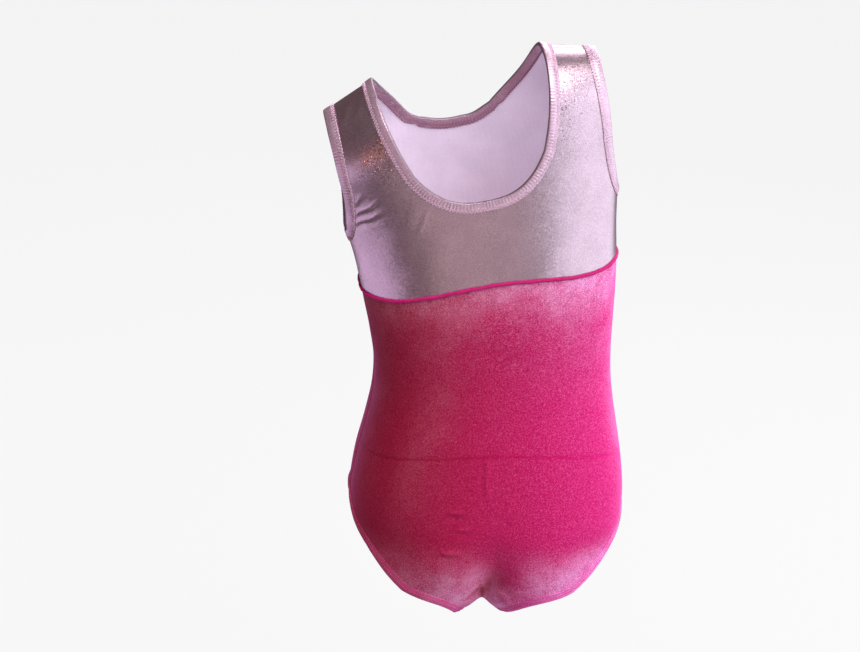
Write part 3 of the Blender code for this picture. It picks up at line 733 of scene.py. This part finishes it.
def slab_faces(rows, columns):
    """Faces of a closed sheet between two grids, and how many lie on each of its faces."""
    count = rows * columns
    index = np.arange(count).reshape(rows, columns)
    cells = np.stack([index[:-1, :-1], index[:-1, 1:], index[1:, 1:], index[1:, :-1]], axis=-1).reshape(-1, 4)
    border = np.array([*index[0, :-1], *index[:-1, -1], *index[-1, :0:-1], *index[:0:-1, 0]])
    after = np.roll(border, -1)
    rim = np.stack([after, border, count + border, count + after], axis=-1)
    faces = np.concatenate([cells, count + cells[:, ::-1], rim])
    return faces.tolist(), len(cells), len(rim)


def add_slab(name, outer, inner, materials, **words):
    """A closed sheet: its outer face has the first material, its inner face the last."""
    faces, cells, rim = slab_faces(*outer.shape[:2])
    slots = [0] * cells + [len(materials) - 1] * cells + [0] * rim
    vertices = np.concatenate([outer.reshape(-1, 3), inner.reshape(-1, 3)])
    return add_piece(name, vertices, faces, materials, slots, **words)


def add_sweep(name, tubes, material, slot, closed=True):
    """Tubes through rings of points, each joined end to end or capped."""
    vertices, faces = [], []
    for rings in tubes:
        count, size = rings.shape[:2]
        i = np.arange(count if closed else count - 1)[:, None]
        j = np.arange(size)[None, :]
        here, there, k = i * size, (i + 1) % count * size, (j + 1) % size
        corners = [here + j, here + k, there + k, there + j]
        quads = np.stack(np.broadcast_arrays(*corners), axis=-1).reshape(-1, 4)
        first = len(vertices)
        last = first + (count - 1) * size
        faces += (first + quads).tolist()
        if not closed:
            faces += [list(range(first, first + size))[::-1], list(range(last, last + size))]
        vertices += rings.reshape(-1, 3).tolist()
    return add_piece(name, vertices, faces, [material], slot=slot)


def tube_rings(path, radius, sides):
    """Rings of a round thread along a closed path of points."""
    along = unit(np.roll(path, -1, axis=0) - np.roll(path, 1, axis=0))
    lead = unit(np.cross(along, np.array([0.31, 0.17, 0.93])))
    other = np.cross(along, lead)
    turns = np.arange(sides) * 2 * math.pi / sides
    radius = np.broadcast_to(np.asarray(radius, float), len(path))[:, None, None]
    circle = np.cos(turns)[None, :, None] * lead[:, None] + np.sin(turns)[None, :, None] * other[:, None]
    return path[:, None] + radius * circle


def give_shares(piece, name, values):
    """Stores a share for each point, for its material to read."""
    attribute = piece.data.attributes.new(name, "FLOAT", "POINT")
    attribute.data.foreach_set("value", np.asarray(values, np.float32).ravel())


# --- panels ---


def even_shares(count):
    """Shares of a quarter turn whose points lie evenly spaced round the body."""
    fine = np.linspace(0, QUARTER, 600)
    length = lengths(form(1, fine, np.full(600, 0.25)))
    return np.interp(np.linspace(0, length[-1], count), length, fine) / QUARTER


def untangled(angle, rise, rounds):
    """The same grid with its inner points spread out over a given number of rounds, to unfold its cells; its
    edges stay.
    """
    grid = np.stack([ARC * angle, rise], axis=-1)
    for _ in range(rounds):
        down = (grid[2:, 1:-1] - grid[:-2, 1:-1]) / 2
        over = (grid[1:-1, 2:] - grid[1:-1, :-2]) / 2
        a = (over**2).sum(-1, keepdims=True)
        b = (down * over).sum(-1, keepdims=True)
        c = (down**2).sum(-1, keepdims=True)
        mixed = (grid[2:, 2:] - grid[2:, :-2] - grid[:-2, 2:] + grid[:-2, :-2]) / 4
        columns = grid[2:, 1:-1] + grid[:-2, 1:-1]
        rows = grid[1:-1, 2:] + grid[1:-1, :-2]
        grid[1:-1, 1:-1] = (a * columns + c * rows - 2 * b * mixed) / (2 * (a + c))
    return grid[..., 0] / ARC, grid[..., 1]


def yoke_half(side, hand):
    """Angle and rise grids of one half of a yoke, from the neck out to the seam, side and armhole."""
    at_seam, at_side, at_arm, rows = 56, 12, 74, 66
    neck_shares = (0.35, 0.45)
    neck = neck_half(side, hand, 200, PANEL_INSET)
    arm = half_edge(ARMHOLES[hand], side, hand, at_arm, PANEL_INSET)
    seam_angle = QUARTER * even_shares(at_seam)
    seam_rise = yoke_seam(hand * seam_angle) + SEAM_GAP
    side_rise = np.linspace(seam_rise[-1], arm[1][0], at_side)
    outer_angle = np.concatenate([seam_angle, np.full(at_side - 1, QUARTER), arm[0][1:]])
    outer_rise = np.concatenate([seam_rise, side_rise[1:], arm[1][1:]])
    shares = np.concatenate(
        [
            np.linspace(0, neck_shares[0], at_seam),
            np.linspace(*neck_shares, at_side)[1:],
            np.linspace(neck_shares[1], 1, at_arm)[1:],
        ]
    )
    along = np.linspace(0, 1, 200)
    neck_angle, neck_rise = np.interp(shares, along, neck[0]), np.interp(shares, along, neck[1])
    out = np.linspace(0, 1, rows)[:, None]
    fall = 1 - (1 - out) ** 2  # level near the armhole, which the straight way would cut across
    angle = neck_angle * (1 - out) + outer_angle * out
    angle, rise = untangled(angle, neck_rise * (1 - fall) + outer_rise * fall, 240)
    return hand * angle, rise


def body_grid(side):
    """Angle and rise grids of a body panel, rows from the crotch seam up to the yoke seam."""
    leg_rows, upper_rows, columns = 116, 150, 96
    left, right = (half_edge(LEGS[hand], side, hand, leg_rows, PANEL_INSET) for hand in (1, -1))
    corner = (left[1][-1] + right[1][-1]) / 2
    left[1][-1] = right[1][-1] = corner
    out = even_shares(columns)
    across = np.concatenate([-out[:0:-1], out])
    edge_angle = np.where(across < 0, right[0][:, None], left[0][:, None])
    edge_rise = np.where(across < 0, right[1][:, None], left[1][:, None])
    centre = np.linspace(0, corner, leg_rows)[:, None]
    angle = across * edge_angle
    rise = centre + (edge_rise - centre) * across**2
    level = np.linspace(corner, YOKE_SEAM, upper_rows)[1:, None]
    upper_angle = np.broadcast_to(across * QUARTER, (upper_rows - 1, len(across)))
    share = (level - corner) / (YOKE_SEAM - corner)
    upper_rise = level + share**3 * (yoke_seam(upper_angle) - YOKE_SEAM - SEAM_GAP)
    return np.concatenate([angle, upper_angle]), np.concatenate([rise, upper_rise])


def panel_faces(side, angle, rise, thickness):
    gap = np.array([0, side * PARTING_GAP, 0])
    return cloth(side, angle, rise, 0.0) + gap, cloth(side, angle, rise, -thickness) + gap


def spot(angle, rise, centre, size):
    """A soft spot on the surface, 0 to 1, by its angle and rise and its half-width in each."""
    return bump(angle, centre[0], size[0]) * bump(rise, centre[1], size[1])


def worn_spots(side, angle, rise):
    """Where the foil print has broken up into loose flakes: on the two straps, behind."""
    right = spot(angle, rise, (-0.67, 0.466), (0.20, 0.030))
    left = spot(angle, rise, (0.59, 0.459), (0.22, 0.016))
    return np.where(np.asarray(side) > 0, np.clip(1.3 * (right + left), 0, 1), 0)


def give_both_faces(piece, name, values):
    """The same shares on a slab's outer and inner face."""
    give_shares(piece, name, np.concatenate([values.ravel(), values.ravel()]))


def add_yoke(name, side):
    left, right = yoke_half(side, 1), yoke_half(side, -1)
    angle = np.concatenate([left[0][:, :0:-1], right[0]], axis=1)
    rise = np.concatenate([left[1][:, :0:-1], right[1]], axis=1)
    faces = panel_faces(side, angle, rise, FOIL)
    made = add_slab(name, *faces, [FOIL_OUT, FOIL_IN], slot="foil_knit")
    give_both_faces(made, "worn", worn_spots(side, angle, rise))
    return made


def brushed_and_sheen_zones(side, angle, rise):
    """Where the pile lies brushed flat and where pale sheen is painted, 0 to 1, less along the line over the
    hips, where shade is painted.
    """
    below = (yoke_seam(angle) - rise) / MM
    seam = 0.52 * np.exp(-np.maximum(below, 0) / 34)
    # On the seat: pile lying flat and painted sheen where the cloth turns under, less in a hollow as painted
    # shade.
    hollow = spot(angle, rise, (-0.12, 0.078), (0.17, 0.024))
    seat = smooth((0.112 - rise) / 0.070) * (1 - 0.8 * hollow)
    # Painted sheen in a stripe low on the wearer's left, behind.
    stripe = bump(angle, 0.62 - 1.5 * (rise - 0.19), 0.22) * bump(rise, 0.17, 0.09)
    # Painted sheen along the sides, where the cloth turns away.
    flank = smooth((np.abs(angle) - 0.95) / 0.6) * bump(rise, 0.20, 0.12)
    # Painted shade along the line over the hips.
    joint = bump(rise, hip_line(angle), 1.3 * MM)
    behind = np.asarray(side) > 0
    zones = seam + np.where(behind, 0.74, 0.35) * seat + 0.24 * flank
    return zones + np.where(behind, 0.13 * stripe - 0.06 * joint, 0)


def painted_pile_light(side, angle, rise):
    """How much lighter or darker the pile is painted: painted light from the wearer's right, painted shade
    towards the left, painted light on the seat and painted shade in its hollows and creases.
    """
    # Painted shade towards the wearer's left, painted light towards the right.
    shade = -0.10 - 0.38 * np.sin(np.clip(1.1 * angle, -QUARTER, QUARTER))
    # Painted light on the seat, behind.
    seat = 0.24 * smooth((0.105 - rise) / 0.060)
    # Painted shade in the cleft, along the hip line, up the crease from the notch and in the gathers beside
    # it.
    cleft = 0.22 * spot(angle, rise, (-0.06, 0.062), (0.12, 0.020))
    joint = 0.12 * bump(rise, hip_line(angle), 1.1 * MM) * smooth(angle + 0.9)
    stem = 0.55 * bump(angle, 1.7 * (rise - 0.0385), 0.035) * bump(rise, 0.050, 0.013)
    rows = bump(np.mod(rise + 0.02 * angle, 0.0056), 0.0028, 0.0011)
    folds = 0.45 * rows * spot(angle, rise, (0.11, 0.058), (0.07, 0.009))
    return shade + np.where(np.asarray(side) > 0, seat - cleft - joint - stem - folds, 0)


def add_body(name, side):
    angle, rise = body_grid(side)
    outer, inner = panel_faces(side, angle, rise, VELOUR)
    made = add_slab(name, outer, inner, [PILE, PILE_IN], slot="velour")
    # Pile lying flat and painted sheen, for the velour to read.
    give_both_faces(made, "brushed_and_sheen", brushed_and_sheen_zones(side, angle, rise))
    # Painted light and shade of the pile.
    give_both_faces(made, "painted_light", painted_pile_light(side, angle, rise))
    return made


# --- trim ---


def band_top(inset, height):
    """Height of a binding's face over the panel: rounded at the fold, drawn down along its stitching."""
    inset = inset / MM
    rise = height * np.sqrt(np.clip(1 - (1 - np.clip(inset / 1.6, 0, 1)) ** 2, 0, 1))
    return rise - STITCH_DRAW * smooth((inset - 4.2) / 3.4) * height


def band_rings(line, thickness, height, ribs, seed):
    """Sections of a strip folded round an edge: its ribbed outer face, the fold and its inner face."""
    width = BINDING_WIDTH / MM
    insets = MM * np.array([width, width - 0.35, 7.7, 7.0, 6.3, 5.4, 4.4, 3.3, 2.2, 1.3, 0.7, 0.3, 0.08, 0.0])
    step = 0.52 * MM
    along = np.arange(0, line.length, step)
    along = along * (line.length / (along[-1] + step))
    pitch = line.length / round(line.length / RIB_PITCH)
    phase = 2 * math.pi * along / pitch + 0.9 * waves(along, 61, 143)
    swell = (0.75 + 0.35 * waves(along + seed, 190, 420)) * (0.5 - 0.5 * np.cos(phase)) ** 0.8
    waver = 0.10 * MM * waves(along + seed, 260, 611, 97)
    butt = 0.50 * MM * (bump(along, JOIN, 0.5 * MM) + bump(along, JOIN + 2.2 * MM, 0.5 * MM))
    window = smooth(insets / (0.7 * MM)) * smooth((width * MM - insets) / (1.0 * MM))
    outward = band_top(insets, height)
    bulge = outward[None, :] + ribs * swell[:, None] * window[None, :] + (waver - butt)[:, None] * window
    outer, inner = bulge, -thickness - bulge
    cloth_in = np.maximum(insets, BINDING_CLOTH)
    low_outer = np.maximum(outer - BINDING_CLOTH, 0.05 * MM)
    low_inner = np.minimum(inner + BINDING_CLOTH, -thickness - 0.05 * MM)
    pick = [0, 2, 5, 7, 9, 11]
    columns = [(insets[j], outer[:, j]) for j in range(len(insets))]
    columns += [(insets[j], inner[:, j]) for j in range(len(insets) - 2, -1, -1)]
    columns += [(cloth_in[j], low_inner[:, j]) for j in pick]
    columns += [(cloth_in[j], low_outer[:, j]) for j in reversed(pick)]
    edge = waver * 1.5
    rings = [line.place(along, inset + (edge if inset > 8 * MM else 0.0), depth) for inset, depth in columns]
    # Painted shade along the binding's fold, for the foil material to read.
    fold = np.array([bump(inset, 0, 0.75 * MM) for inset, _ in columns])
    # Painted light and shade of the pile, for a velour leg band to read.
    painted_light = painted_pile_light(*line.moved(along, width * MM))
    return np.stack(rings, axis=1), np.tile(fold, len(along)), np.repeat(painted_light, len(columns))


# Zigzags in mm: the two insets they swing between, their heights on and past the binding, and radius.
OUTER_ZIGZAG = (6.1, 9.5, 0.30, 0.22, 0.24)
INNER_ZIGZAG = (7.4, 9.6, 0.28, 0.20, 0.30)
ZIGZAG_POINTS = 5  # along each swing


def add_zigzag(name, line, height, stitch, material, slot, below=None):
    """The zigzag that holds a binding down, caught over its edge: outside, or below the panel."""
    near, far, on_band, past, radius = (size * MM for size in stitch)
    turns = 2 * round(line.length / RIB_PITCH)
    step = line.length / turns
    index = np.repeat(np.arange(turns), ZIGZAG_POINTS)
    part = np.tile(np.linspace(0, 1, ZIGZAG_POINTS, endpoint=False), turns)
    along = (index + part) * step + 0.12 * step * waves(index, 1.7, 2.9)
    inset = near + (far - near) * np.where(index % 2 == 0, part, 1 - part)
    over = band_top(np.minimum(inset, BINDING_WIDTH), height) + on_band
    depth = np.where(inset > BINDING_WIDTH - 0.1 * MM, past, over)
    path = line.place(along, inset, depth if below is None else -below - depth)
    return add_sweep(name, [tube_rings(path, radius, 5)], material, slot)


def add_straight_rows(name, line, height):
    """Two rows of lockstitch on a leg band: each stitch a short bead that dips at its ends."""
    count = round(line.length / LOCKSTITCH)
    along = np.linspace(0, line.length, 6 * count, endpoint=False)
    dip = np.abs(np.sin(math.pi * along * count / line.length)) ** 0.6
    rows = []
    for inset in (7.3 * MM, 4.9 * MM):
        depth = band_top(np.full_like(along, inset), height) - 0.20 * MM + 0.42 * MM * dip
        rows.append(tube_rings(line.place(along, inset, depth), 0.30 * MM * (0.55 + 0.45 * dip), 6))
    return add_sweep(name, rows, PINK_THREAD, "pink_thread")


def add_elastic(name, line, thickness):
    """The flat elastic in a binding's fold, ribbed by its covered cores."""
    middle, half = -thickness / 2, 0.42 * MM
    insets = np.linspace(2.0, 4.1, 9) * MM
    cores = 0.12 * MM * np.abs(np.sin(np.linspace(0, 4 * math.pi, 9)))
    section = [(inset, middle + half + core) for inset, core in zip(insets, cores)]
    section += [(inset, middle - half - core) for inset, core in zip(insets[::-1], cores[::-1])]
    along = np.linspace(0, line.length, int(line.length / (2.5 * MM)), endpoint=False)
    rings = np.stack([line.place(along, inset, depth) for inset, depth in section], axis=1)
    return add_sweep(name, [rings], ELASTIC, "elastic")


def add_edge_trim(words, line, thickness, foil, seed):
    """All that finishes one opening: binding, elastic and stitching."""
    height = (1.05 if foil else 1.15) * MM
    ribs = (0.32 if foil else 0.12) * MM
    rings, fold, painted_light = band_rings(line, thickness, height, ribs, seed)
    material, slot = (FOIL_BAND, "foil_knit") if foil else (PILE_BAND, "velour")
    name, stitch, under = (words.format(word) for word in ("binding", "topstitch", "understitch"))
    band = add_sweep(name, [rings], material, slot)
    elastic = add_elastic(words.format("elastic"), line, thickness)
    if foil:
        # Painted shade along the binding's fold.
        give_shares(band, "fold", fold)
        thread = (DARK_THREAD, "mauve_thread")
        rows = add_zigzag(stitch, line, height, OUTER_ZIGZAG, PALE_THREAD, "mauve_thread")
    else:
        # Painted light and shade of the pile.
        give_shares(band, "painted_light", painted_light)
        thread = (PINK_THREAD, "pink_thread")
        rows = add_straight_rows(stitch, line, height)
    inside = add_zigzag(under, line, height, INNER_ZIGZAG, *thread, below=thickness)


def seam_ring():
    """The yoke seam, right round the body."""
    count = 260
    turn = QUARTER * np.concatenate([-even_shares(count)[:0:-1], even_shares(count)])
    sides = np.concatenate([np.ones(len(turn)), -np.ones(len(turn) - 2)])
    angles = np.concatenate([turn, turn[-2:0:-1]])
    return Line(sides, angles, yoke_seam(angles), turn=1)


def add_seam_roll():
    """The velour's edge, rolled over the seam: uneven, with small nubs."""
    line = seam_ring()
    along = np.linspace(0, line.length, int(line.length / (0.7 * MM)), endpoint=False)
    uneven = 1 + 0.10 * waves(along, 230, 517, 149) + 0.09 * np.maximum(waves(along, 1310, 903, 1777), 0)
    turns = np.arange(14) * 2 * math.pi / 14
    rings = []
    for turn in turns:
        inset = PIPING_RADIUS * uneven * math.cos(turn)
        depth = PIPING_RADIUS * (0.90 * uneven * math.sin(turn) + 0.38)
        rings.append(line.place(along, inset + 0.25 * MM * waves(along, 171, 333), depth))
    rings = np.stack(rings, axis=1)
    return add_sweep("yoke_piping", [rings], PILE_ROLL, "velour")


def add_ribbon(name, centre, across, normal, depths, material, slot):
    """An overlocked seam allowance on the inside, its looped threads as slanting ridges."""
    steps = lengths(centre)
    along = np.linspace(0, steps[-1], int(steps[-1] / (0.5 * MM)))
    turn = 2 * math.pi * along / OVERLOCK_LOOP
    width = SEAM_WIDTH / 2
    places = np.linspace(-1, 1, 11)

    def even(rows):
        return np.stack([np.interp(along, steps, rows[:, k]) for k in range(3)], axis=1)

    centre, across, normal = even(centre), even(across), even(normal)

    def strand(place, depth):
        """Points at one place across the ribbon; its two edges waver with the loops."""
        swing = 0.10 * width * np.sign(place) * (np.abs(place) > 0.9) * np.sin(turn)
        return centre + across * (place * width + swing)[:, None] + normal * depth

    outer, inner = depths
    columns = [strand(place, outer) for place in places]
    for place in places[::-1]:
        ridge = 0.24 * MM * (0.5 + 0.5 * np.sin(turn + 0.7 * math.pi * place)) * (1 - place**4)
        columns.append(strand(place, (inner - ridge)[:, None]))
    rings = np.stack(columns, axis=1)
    return add_sweep(name, [rings], material, slot, closed=False)


def add_straight_seam(name, angle, rise, depths=SEAM_DEPTHS, material=PINK_THREAD, slot="pink_thread"):
    """A seam allowance across the parting of the two halves."""
    centre = cloth(1, angle, rise, 0.0)
    normal = directions(np.ones_like(rise), angle, rise)[2]
    across = np.broadcast_to([0.0, 1.0, 0.0], centre.shape)
    across = unit(across - normal * (across * normal).sum(axis=1, keepdims=True))
    return add_ribbon(name, centre, across, normal, depths, material, slot)


def add_yoke_seam(name, side):
    """The seam allowance behind the yoke seam, on one half."""
    angle = np.linspace(-1, 1, 240) * (QUARTER - YOKE_SEAM_SHORT)
    rise = yoke_seam(angle)
    centre = cloth(side, angle, rise, 0.0)
    normal = directions(np.full_like(rise, side), angle, rise)[2]
    across = unit(np.cross(normal, np.gradient(centre, axis=0)))
    return add_ribbon(name, centre, across, normal, SEAM_DEPTHS, PINK_THREAD, "pink_thread")


def add_seams():
    """Every seam allowance inside the garment."""
    made = {}
    for word, hand in HANDS:
        rise = np.linspace(UNDERARM - SIDE_SEAM_TOP_CLEAR, LEG_SIDE + SIDE_SEAM_LOW_CLEAR, 120)
        angle = np.full_like(rise, hand * QUARTER)
        made["side", hand] = add_straight_seam(f"side_seam_{word}", angle, rise)
        x = np.linspace(NECK_X + SEAM_END_CLEAR, SHOULDER_X - SEAM_END_CLEAR, 20)
        top = np.full_like(x, RISE_TOP)
        made["shoulder", hand] = add_straight_seam(
            f"shoulder_seam_{word}", hand * angle_of(x, top), top, material=PALE_THREAD, slot="mauve_thread"
        )
    x = np.linspace(-1, 1, 30) * (CROTCH_X - SEAM_END_CLEAR)
    low = np.zeros_like(x)
    made["crotch"] = add_straight_seam("crotch_seam", angle_of(x, low), low, CROTCH_SEAM_DEPTHS)
    for word, side in SIDES:
        made["yoke", side] = add_yoke_seam(f"yoke_seam_{word}", side)
    return made


def add_lining():
    """The gusset lining: one piece across the crotch seam, wider towards its ends."""
    across = np.linspace(-1, 1, 33)
    back = [(1, rise) for rise in np.linspace(0.040, 0, 26)]
    front = [(-1, rise) for rise in np.linspace(0.075, 0, 46)[::-1][1:]]
    faces = ([], [])
    for side, rise in back + front:
        level = np.full(len(across), rise)
        angle = angle_of(across * (LINING_HALF_WIDTH + LINING_FLARE * rise), level)
        ripple = 0.12 * MM * waves(across * 3 + rise * 90, 2.1, 3.7)
        for face, depth in zip(faces, LINING_DEPTHS):
            face.append(cloth(side, angle, level, depth + ripple))
    return add_slab("gusset_lining", *map(np.array, faces), [LINING], slot="lining_knit")


def add_label():
    """A blank satin tab inside the back neck, its free end curling a little off the cloth."""
    drop = np.linspace(0.007, 0.035, 30)[:, None]
    x = np.linspace(-1, 1, 25)[None, :] * LABEL_HALF_WIDTH
    rise = NECK_BOTTOM[1] - drop + 0 * x
    angle = angle_of(x + 0 * drop, rise)
    curl = -0.5 * MM * smooth((drop - 0.022) / 0.013) - 0.1 * MM * np.cos(x / 0.004) * smooth(drop / 0.03)
    outer, inner = (cloth(1, angle, rise, depth + curl) for depth in LABEL_DEPTHS)
    return add_slab("size_label", outer, inner, [SATIN], slot="label_satin")


# --- the garment ---


def layer_area(piece):
    """Area of one face of a closed sheet."""
    return sum(face.area for face in piece.data.polygons) / 2


def build_garment():
    yokes = {side: add_yoke(f"{word}_yoke", side) for word, side in SIDES}
    bodies = {side: add_body(f"{word}_body", side) for word, side in SIDES}
    roll = add_seam_roll()
    seams = add_seams()
    label, lining = add_label(), add_lining()
    add_edge_trim("neck_{}", NECK, FOIL, True, 0.0)
    for word, hand in HANDS:
        add_edge_trim("armhole_{}_" + word, ARMHOLES[hand], FOIL, True, 0.3 + hand)
        add_edge_trim("leg_{}_" + word, LEGS[hand], VELOUR, False, 0.7 + hand)
    stretch = 1.15  # the worn cloth's area over its area as cut
    yoke_flat, body_flat = (0.265, 0.190), (0.265, 0.330)
    shoulders = [seams["shoulder", hand] for hand in (1, -1)]
    sides = [seams["side", hand] for hand in (1, -1)]
    cuts = (
        (yokes[1], yoke_flat, shoulders),
        (yokes[-1], yoke_flat, []),
        (bodies[1], body_flat, [roll, seams["yoke", 1], *sides]),
        (bodies[-1], body_flat, [seams["yoke", -1], seams["crotch"]]),
    )
    for piece, flat, others in cuts:
        layer_area(piece) / stretch
        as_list(others)


# --- room, light and camera ---


def add_floor():
    bpy.ops.mesh.primitive_plane_add(size=24, location=(0, 0, CAD_LOW.z - 0.32))
    floor = bpy.context.object
    floor.name = "floor"
    n = Nodes("floor")
    n.set(base_color=(0.02, 0.02, 0.02), roughness=0.9, emission_color=(1, 1, 1), emission_strength=0.890)
    floor.data.materials.append(n.material)
    floor.visible_glossy = False
    floor.visible_diffuse = False


# Area lights: direction from the garment's middle, distance, size, watts, colour.
SOFTBOXES = {
    "key_right": ((-0.95, 0.26, -0.02), 1.6, (3.5, 2.2), 52, (0.80, 0.89, 1.0)),
    "key_high": ((-0.50, 0.55, 0.67), 1.8, (1.3, 1.2), 7.0, (0.82, 0.88, 1.0)),
    "camera_card": ((-0.02, 0.95, -0.30), 2.2, (1.3, 1.3), 3.6, (1.0, 0.86, 0.88)),
    "top": ((-0.08, 0.42, 0.90), 1.6, (1.1, 1.1), 24, (1.0, 0.97, 1.0)),
    "low_left_card": ((0.92, -0.08, -0.375), 1.0, (3.0, 0.72), 7.2, (0.78, 0.68, 0.96), "ELLIPSE"),
    "strap_card": ((-0.55, -0.75, 0.50), 1.5, (1.3, 1.2), 26.0, (0.92, 0.88, 1.0)),
    "floor_bounce": ((-0.25, 0.55, -0.80), 1.2, (1.2, 0.6), 5.0, (1.0, 0.94, 0.96)),
    "warm_lamp": ((0.55, 0.83, -0.02), 2.6, (0.05, 0.04), 1.6, (1.0, 0.42, 0.22)),
}


def add_softbox(name, direction, distance, size, power, colour, shape="RECTANGLE"):
    """An area light at a direction from the garment's middle, facing it."""
    middle = Vector((-0.03, 0, -0.24))
    light = bpy.data.lights.new(name, "AREA")
    light.shape = shape
    light.size, light.size_y = size
    light.energy = power
    light.color = colour
    made = add_object(name, light)
    made.location = middle + Vector(direction).normalized() * distance
    made.rotation_euler = (middle - made.location).to_track_quat("-Z", "Y").to_euler()


def light_room():
    world = bpy.data.worlds.new("studio")
    bpy.context.scene.world = world
    world.use_nodes = True
    tree = world.node_tree
    background = tree.nodes["Background"]
    background.inputs["Color"].default_value = (0.110, 0.072, 0.074, 1)
    background.inputs["Strength"].default_value = 1.0
    for name, values in SOFTBOXES.items():
        add_softbox(name, *values)
    bpy.context.scene.view_settings.view_transform = "Standard"


def add_camera():
    """The view: from behind, above and a little to the wearer's left, rolled slightly."""
    yaw, pitch, roll, distance = 0.1470, 0.4399, 0.0388, 1.8308
    target = Vector(np.array([0, 0, 0.26]) - ORIGIN)
    back = Vector((math.sin(yaw) * math.cos(pitch), math.cos(yaw) * math.cos(pitch), math.sin(pitch)))
    level = Vector((-math.cos(yaw), math.sin(yaw), 0))
    above = level.cross(-back)
    across = level * math.cos(roll) + above * math.sin(roll)
    up = -level * math.sin(roll) + above * math.cos(roll)
    data = bpy.data.cameras.new("camera")
    data.lens, data.sensor_width = 90.24, 36
    data.shift_x, data.shift_y = -0.0718, 0.0148
    data.clip_start, data.clip_end = 0.05, 50
    camera = add_object("camera", data)
    turn = Matrix((across, up, back)).transposed().to_4x4()
    camera.matrix_world = Matrix.Translation(target + back * distance) @ turn
    bpy.context.scene.camera = camera


add_camera()
light_room()
add_floor()
build_garment()
